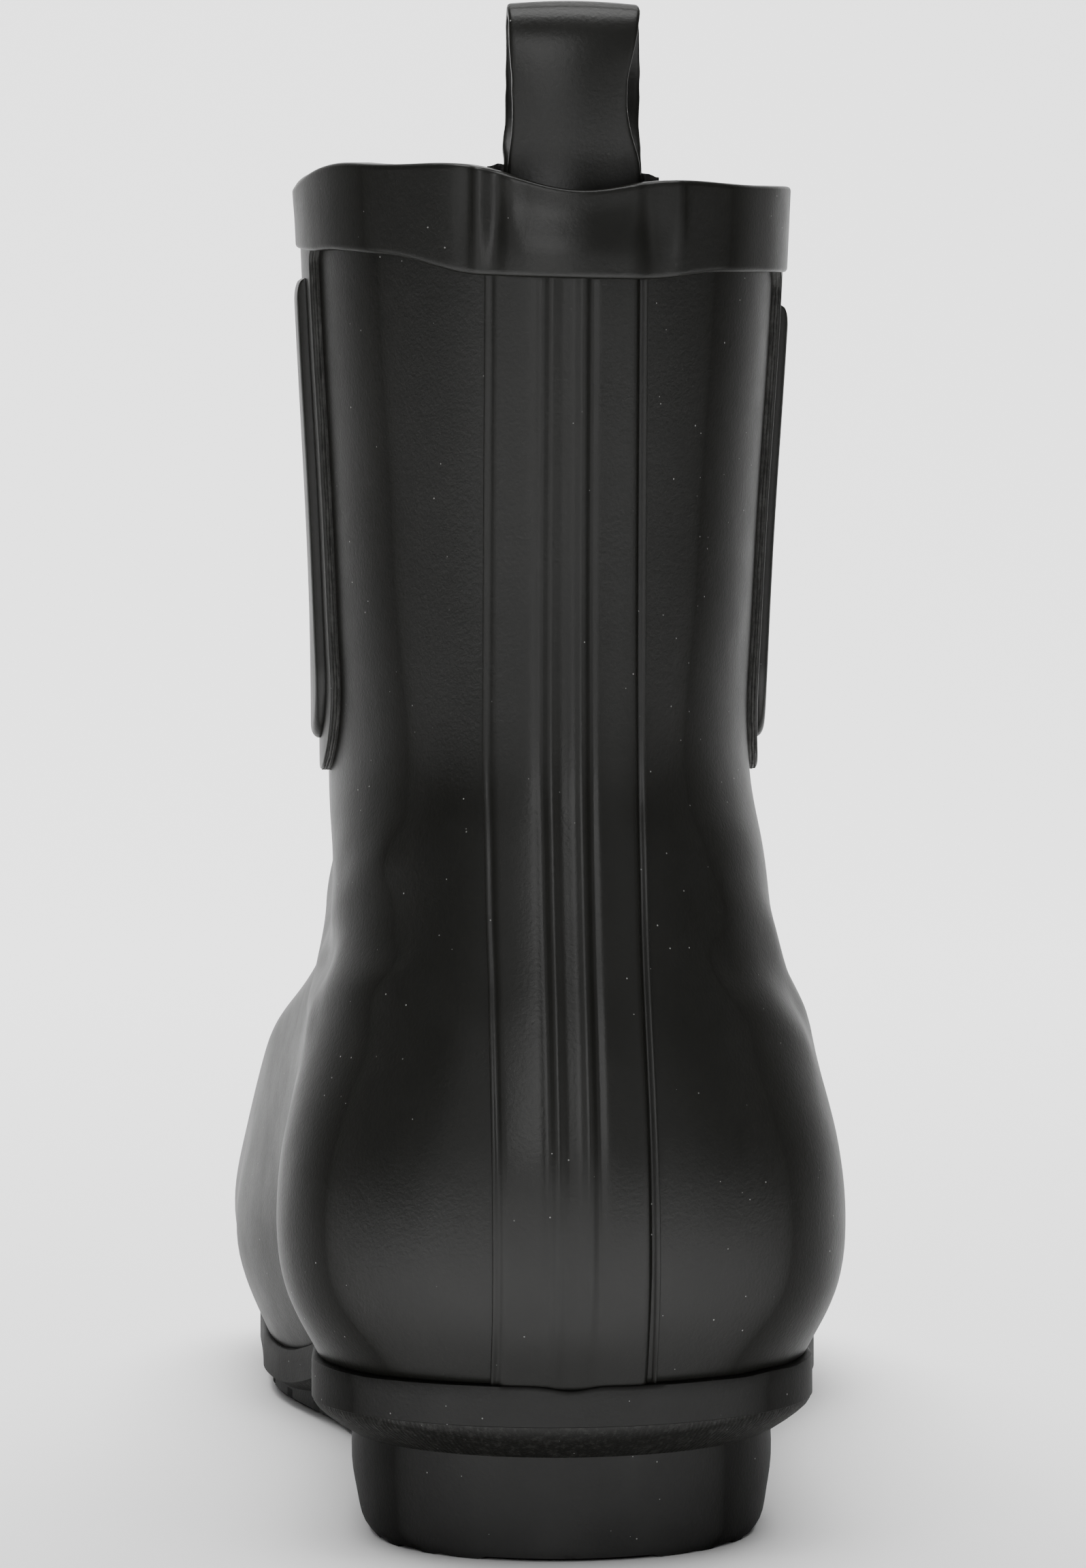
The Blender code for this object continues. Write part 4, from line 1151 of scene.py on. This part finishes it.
def half_loft(levels, start, end, sections):
    """Cross-sections of a tread block between y start and y end, from the sole's outline."""
    rows = []
    for inset, back_inset, front_inset, height in levels:
        ring = sole_ring(inset, back_inset=back_inset, front_inset=front_inset)
        first = ring.back_y if start is None else start
        last = ring.front_y if end is None else end
        shares = np.linspace(0, 1, sections)
        spread = 1 - np.cos(shares * math.pi / 2) if start is None else np.sin(shares * math.pi / 2)
        y = first + (last - first) * spread
        sides = [foot_axis(y) + side * half_width(ring, y, side) for side in (1, -1)]
        rows.append([np.stack([x, y, height(y)], -1) for x in sides])
    right, left = zip(*rows)
    return np.stack(right + left[::-1])


def make_block(name, levels, start, end, sections):
    """A tread block. An end that is None follows the sole's round end and needs no closing face."""
    loop = half_loft(levels, start, end, sections)
    body = Builder()
    body.grid(np.concatenate([loop, loop[:1]]))
    count = len(loop) // 2
    for column, place in ((0, start), (-1, end)):
        if place is not None:
            body.grid(np.stack([loop[:count, column], loop[count:, column][::-1]]))
    return body.make(name, [sole], "outsole", BLOCK_SHARP)


def prism(profile, centre, width, turn):
    """Points and faces of a bar with an (x, z) profile, width long along y and then turned."""
    c, s = math.cos(turn), math.sin(turn)
    points = [
        (centre[0] + x * c - across * s, centre[1] + x * s + across * c, z)
        for across in (-width / 2, width / 2)
        for x, z in profile
    ]
    count = len(profile)
    faces = [tuple(range(count)), tuple(range(count, 2 * count))]
    ends = [(i, (i + 1) % count) for i in range(count)]
    faces += [(i, after, count + after, count + i) for i, after in ends]
    return points, faces


def carve(made, prisms):
    """Cuts prisms out of a piece and keeps the result."""
    mesh = bpy.data.meshes.new("tool")
    body = bmesh.new()
    for points, faces in prisms:
        corners = [body.verts.new(Vector(point) + Vector(SHIFT)) for point in points]
        for face in faces:
            body.faces.new([corners[i] for i in face])
    bmesh.ops.recalc_face_normals(body, faces=body.faces)
    body.to_mesh(mesh)
    body.free()
    tool = show("tool", mesh)
    cut = made.modifiers.new("cut", "BOOLEAN")
    cut.operation = "DIFFERENCE"
    cut.solver = "EXACT"
    cut.object = tool
    graph = bpy.context.evaluated_depsgraph_get()
    result = bpy.data.meshes.new_from_object(made.evaluated_get(graph))
    made.modifiers.clear()
    made.data = result
    bpy.data.objects.remove(tool, do_unlink=True)
    result.shade_smooth()
    result.set_sharp_from_angle(angle=math.radians(BLOCK_SHARP))


# Heights of the heel's drawn levels, as shares of the heel's height
HEEL_SHARES = (1.10, 1.0, 0.85, 0.7, 0.58, 0.48, 0.40, 0.32, 0.25, 0.18, 0.12, 0.07, 0.03, 0.0)
HEEL_FOOT_INSET = 0.0014
HEEL_GROOVE_REACH = 0.0235
TOOTH_HEIGHT = 0.0011
TOOTH_PITCH = 0.0016


def heel_teeth(y):
    """How far the heel's worn and lugged lower edge lifts off the floor."""
    bump = noise(y, TOOTH_PITCH, 41)
    return TOOTH_HEIGHT * np.clip(bump, 0, 1)


def make_heel():
    height = LUG_HEIGHT + HEEL_RISE
    shares, insets, backs = zip(*HEEL_PROFILE)
    curve = Spline(1.10 - np.array(shares), np.stack([insets, backs], -1))
    levels = []
    # Each level has its insets and a height as a function of y
    for share in HEEL_SHARES:
        inset, back = curve(1.10 - share) * BEVEL_INSET
        levels.append((inset, back, None, lambda y, share=share: height * share + 0 * y))
    inset, back, _, _ = levels.pop()
    levels.append((inset, back, None, heel_teeth))
    levels.append((inset + HEEL_FOOT_INSET, back + HEEL_FOOT_INSET, None, lambda y: 0 * y))
    heel = make_block("heel_block", levels, None, HEEL_BLOCK_LENGTH, 150)
    reach = HEEL_GROOVE_REACH
    across = [(-reach, -LUG_HEIGHT), (reach, -LUG_HEIGHT)]
    across += [(reach, HEEL_GROOVE_DEPTH), (-reach, HEEL_GROOVE_DEPTH)]
    carve(heel, [prism(across, (0, y), GROOVE_WIDTH, 0) for y in HEEL_GROOVE_PLACES])
    return heel


def groove_profile(side, y):
    floor = float(tread_line(y))
    start, reach = side * 0.2 * GROOVE_WIDTH, side * SOLE_BALL_WIDTH
    below, above = floor - LUG_HEIGHT, floor + GROOVE_DEPTH
    return [(start, below), (reach, below), (reach, above), (start, above)]


def make_tread():
    levels = [
        (BEVEL_INSET * inset, None, FRONT_BEVEL_INSET * inset, height)
        for inset, height in (
            (1.06, lambda y: (flange_line(y) + base_line(y)) / 2),
            (1.06, lambda y: tread_line(y) + TREAD_CHAMFER),
            (1.30, lambda y: tread_line(y) + TREAD_CHAMFER / 2),
            (1.90, tread_line),
        )
    ]
    tread = make_block("forefoot_tread", levels, TREAD_START, None, 90)
    slant = math.radians(GROOVE_SLANT_DEG)
    gaps = []
    y = TREAD_START + GROOVE_PITCH
    while y < OUTSOLE_LENGTH - 1.2 * GROOVE_PITCH:
        for side in (-1, 1):
            place = (float(foot_axis(y)), y)
            gaps.append(prism(groove_profile(side, y), place, GROOVE_WIDTH, side * slant))
        y += GROOVE_PITCH
    carve(tread, gaps)
    return tread


def make_insole():
    angle = all_round(120)
    inset = LASTING_INSET + WALL + INSOLE_CLEARANCE
    top = INSOLE_THICKNESS + GAP
    profile = ((0.0, GAP), (0.0, top - 0.0006), (0.0003, top - 0.0002), (0.0009, top))
    rows = [sole_points(inset + more, flange_line, angle) + (0, 0, above) for more, above in profile]
    body = Builder()
    body.cap(rows[0])
    body.grid(np.array(rows), True)
    body.cap(rows[-1])
    return body.make("insole_look", [lining], "insole", sharp=50)


make_upper()
make_band()
make_stay()
for side, name in SIDES:
    make_gusset(side, name)
for side, name in SIDES:
    make_panel(side, name)
make_loop()
make_anchor()
make_foxing()
make_plate()
make_heel()
make_tread()
make_insole()


# Camera, floor and light

CAMERA_PLACE = np.array([-0.0596, -0.7419, 0.124]) + SHIFT
CAMERA_AIM = Vector((0.0750, 0.9968, -0.0269))
CAMERA_LENS = 129.3
FLOOR_PALE = (0.86, 0.86, 0.86, 1)


def make_camera():
    data = bpy.data.cameras.new("camera")
    data.sensor_width = 36.0
    data.lens = CAMERA_LENS
    data.clip_start, data.clip_end = 0.01, 50
    camera = show("camera", data)
    camera.location = CAMERA_PLACE
    camera.rotation_euler = CAMERA_AIM.to_track_quat("-Z", "Y").to_euler()
    bpy.context.scene.camera = camera


def make_floor():
    """A pale floor that curves up into a plain backdrop beyond the toe."""
    reach, bend_y, bend, top = 5.0, 1.3, 0.9, 4.0
    turns = np.linspace(0, math.pi / 2, 25)
    profile = [(-reach, 0.0)] + [
        (bend_y + bend * math.sin(turn), bend - bend * math.cos(turn)) for turn in turns
    ]
    profile.append((bend_y + bend, top))
    corners = [(x, y, z) for y, z in profile for x in (-reach, reach)]
    faces = [(2 * i, 2 * i + 1, 2 * i + 3, 2 * i + 2) for i in range(len(profile) - 1)]
    mesh = bpy.data.meshes.new("floor")
    mesh.from_pydata(corners, [], faces)
    mesh.shade_smooth()
    mesh.materials.append(Shader("floor_pale").finish(Base_Color=FLOOR_PALE, Roughness=0.9))
    floor = show("floor", mesh)


def area_light(name, place, aim, size, power):
    data = bpy.data.lights.new(name, "AREA")
    data.shape = "RECTANGLE"
    data.size, data.size_y = size
    data.energy = power
    light = show(name, data)
    light.location = place
    direction = Vector(aim) - Vector(place)
    light.rotation_euler = direction.to_track_quat("-Z", "Y").to_euler()


def make_lights():
    middle = (0.0, -0.08, 0.11)
    area_light("key_front", (-0.20, -1.25, 0.50), middle, (0.60, 0.6), 2.9)
    area_light("key_left", (-0.82, -0.88, 0.30), middle, (0.55, 0.9), 0.6)
    area_light("key_right", (0.84, -0.86, 0.34), middle, (0.55, 0.9), 0.4)
    area_light("overhead", (0.0, 0.15, 1.7), (0.0, 0.15, 0.0), (1.6, 1.6), 47)
    area_light("backdrop", (0.0, 1.15, 2.3), (0.0, 2.2, 0.7), (3.0, 0.8), 135)
    world = bpy.data.worlds.new("studio")
    world.use_nodes = True
    background = world.node_tree.nodes["Background"]
    background.inputs["Color"].default_value = (1, 1, 1, 1)
    background.inputs["Strength"].default_value = 0.03
    bpy.context.scene.world = world


make_camera()
make_floor()
make_lights()
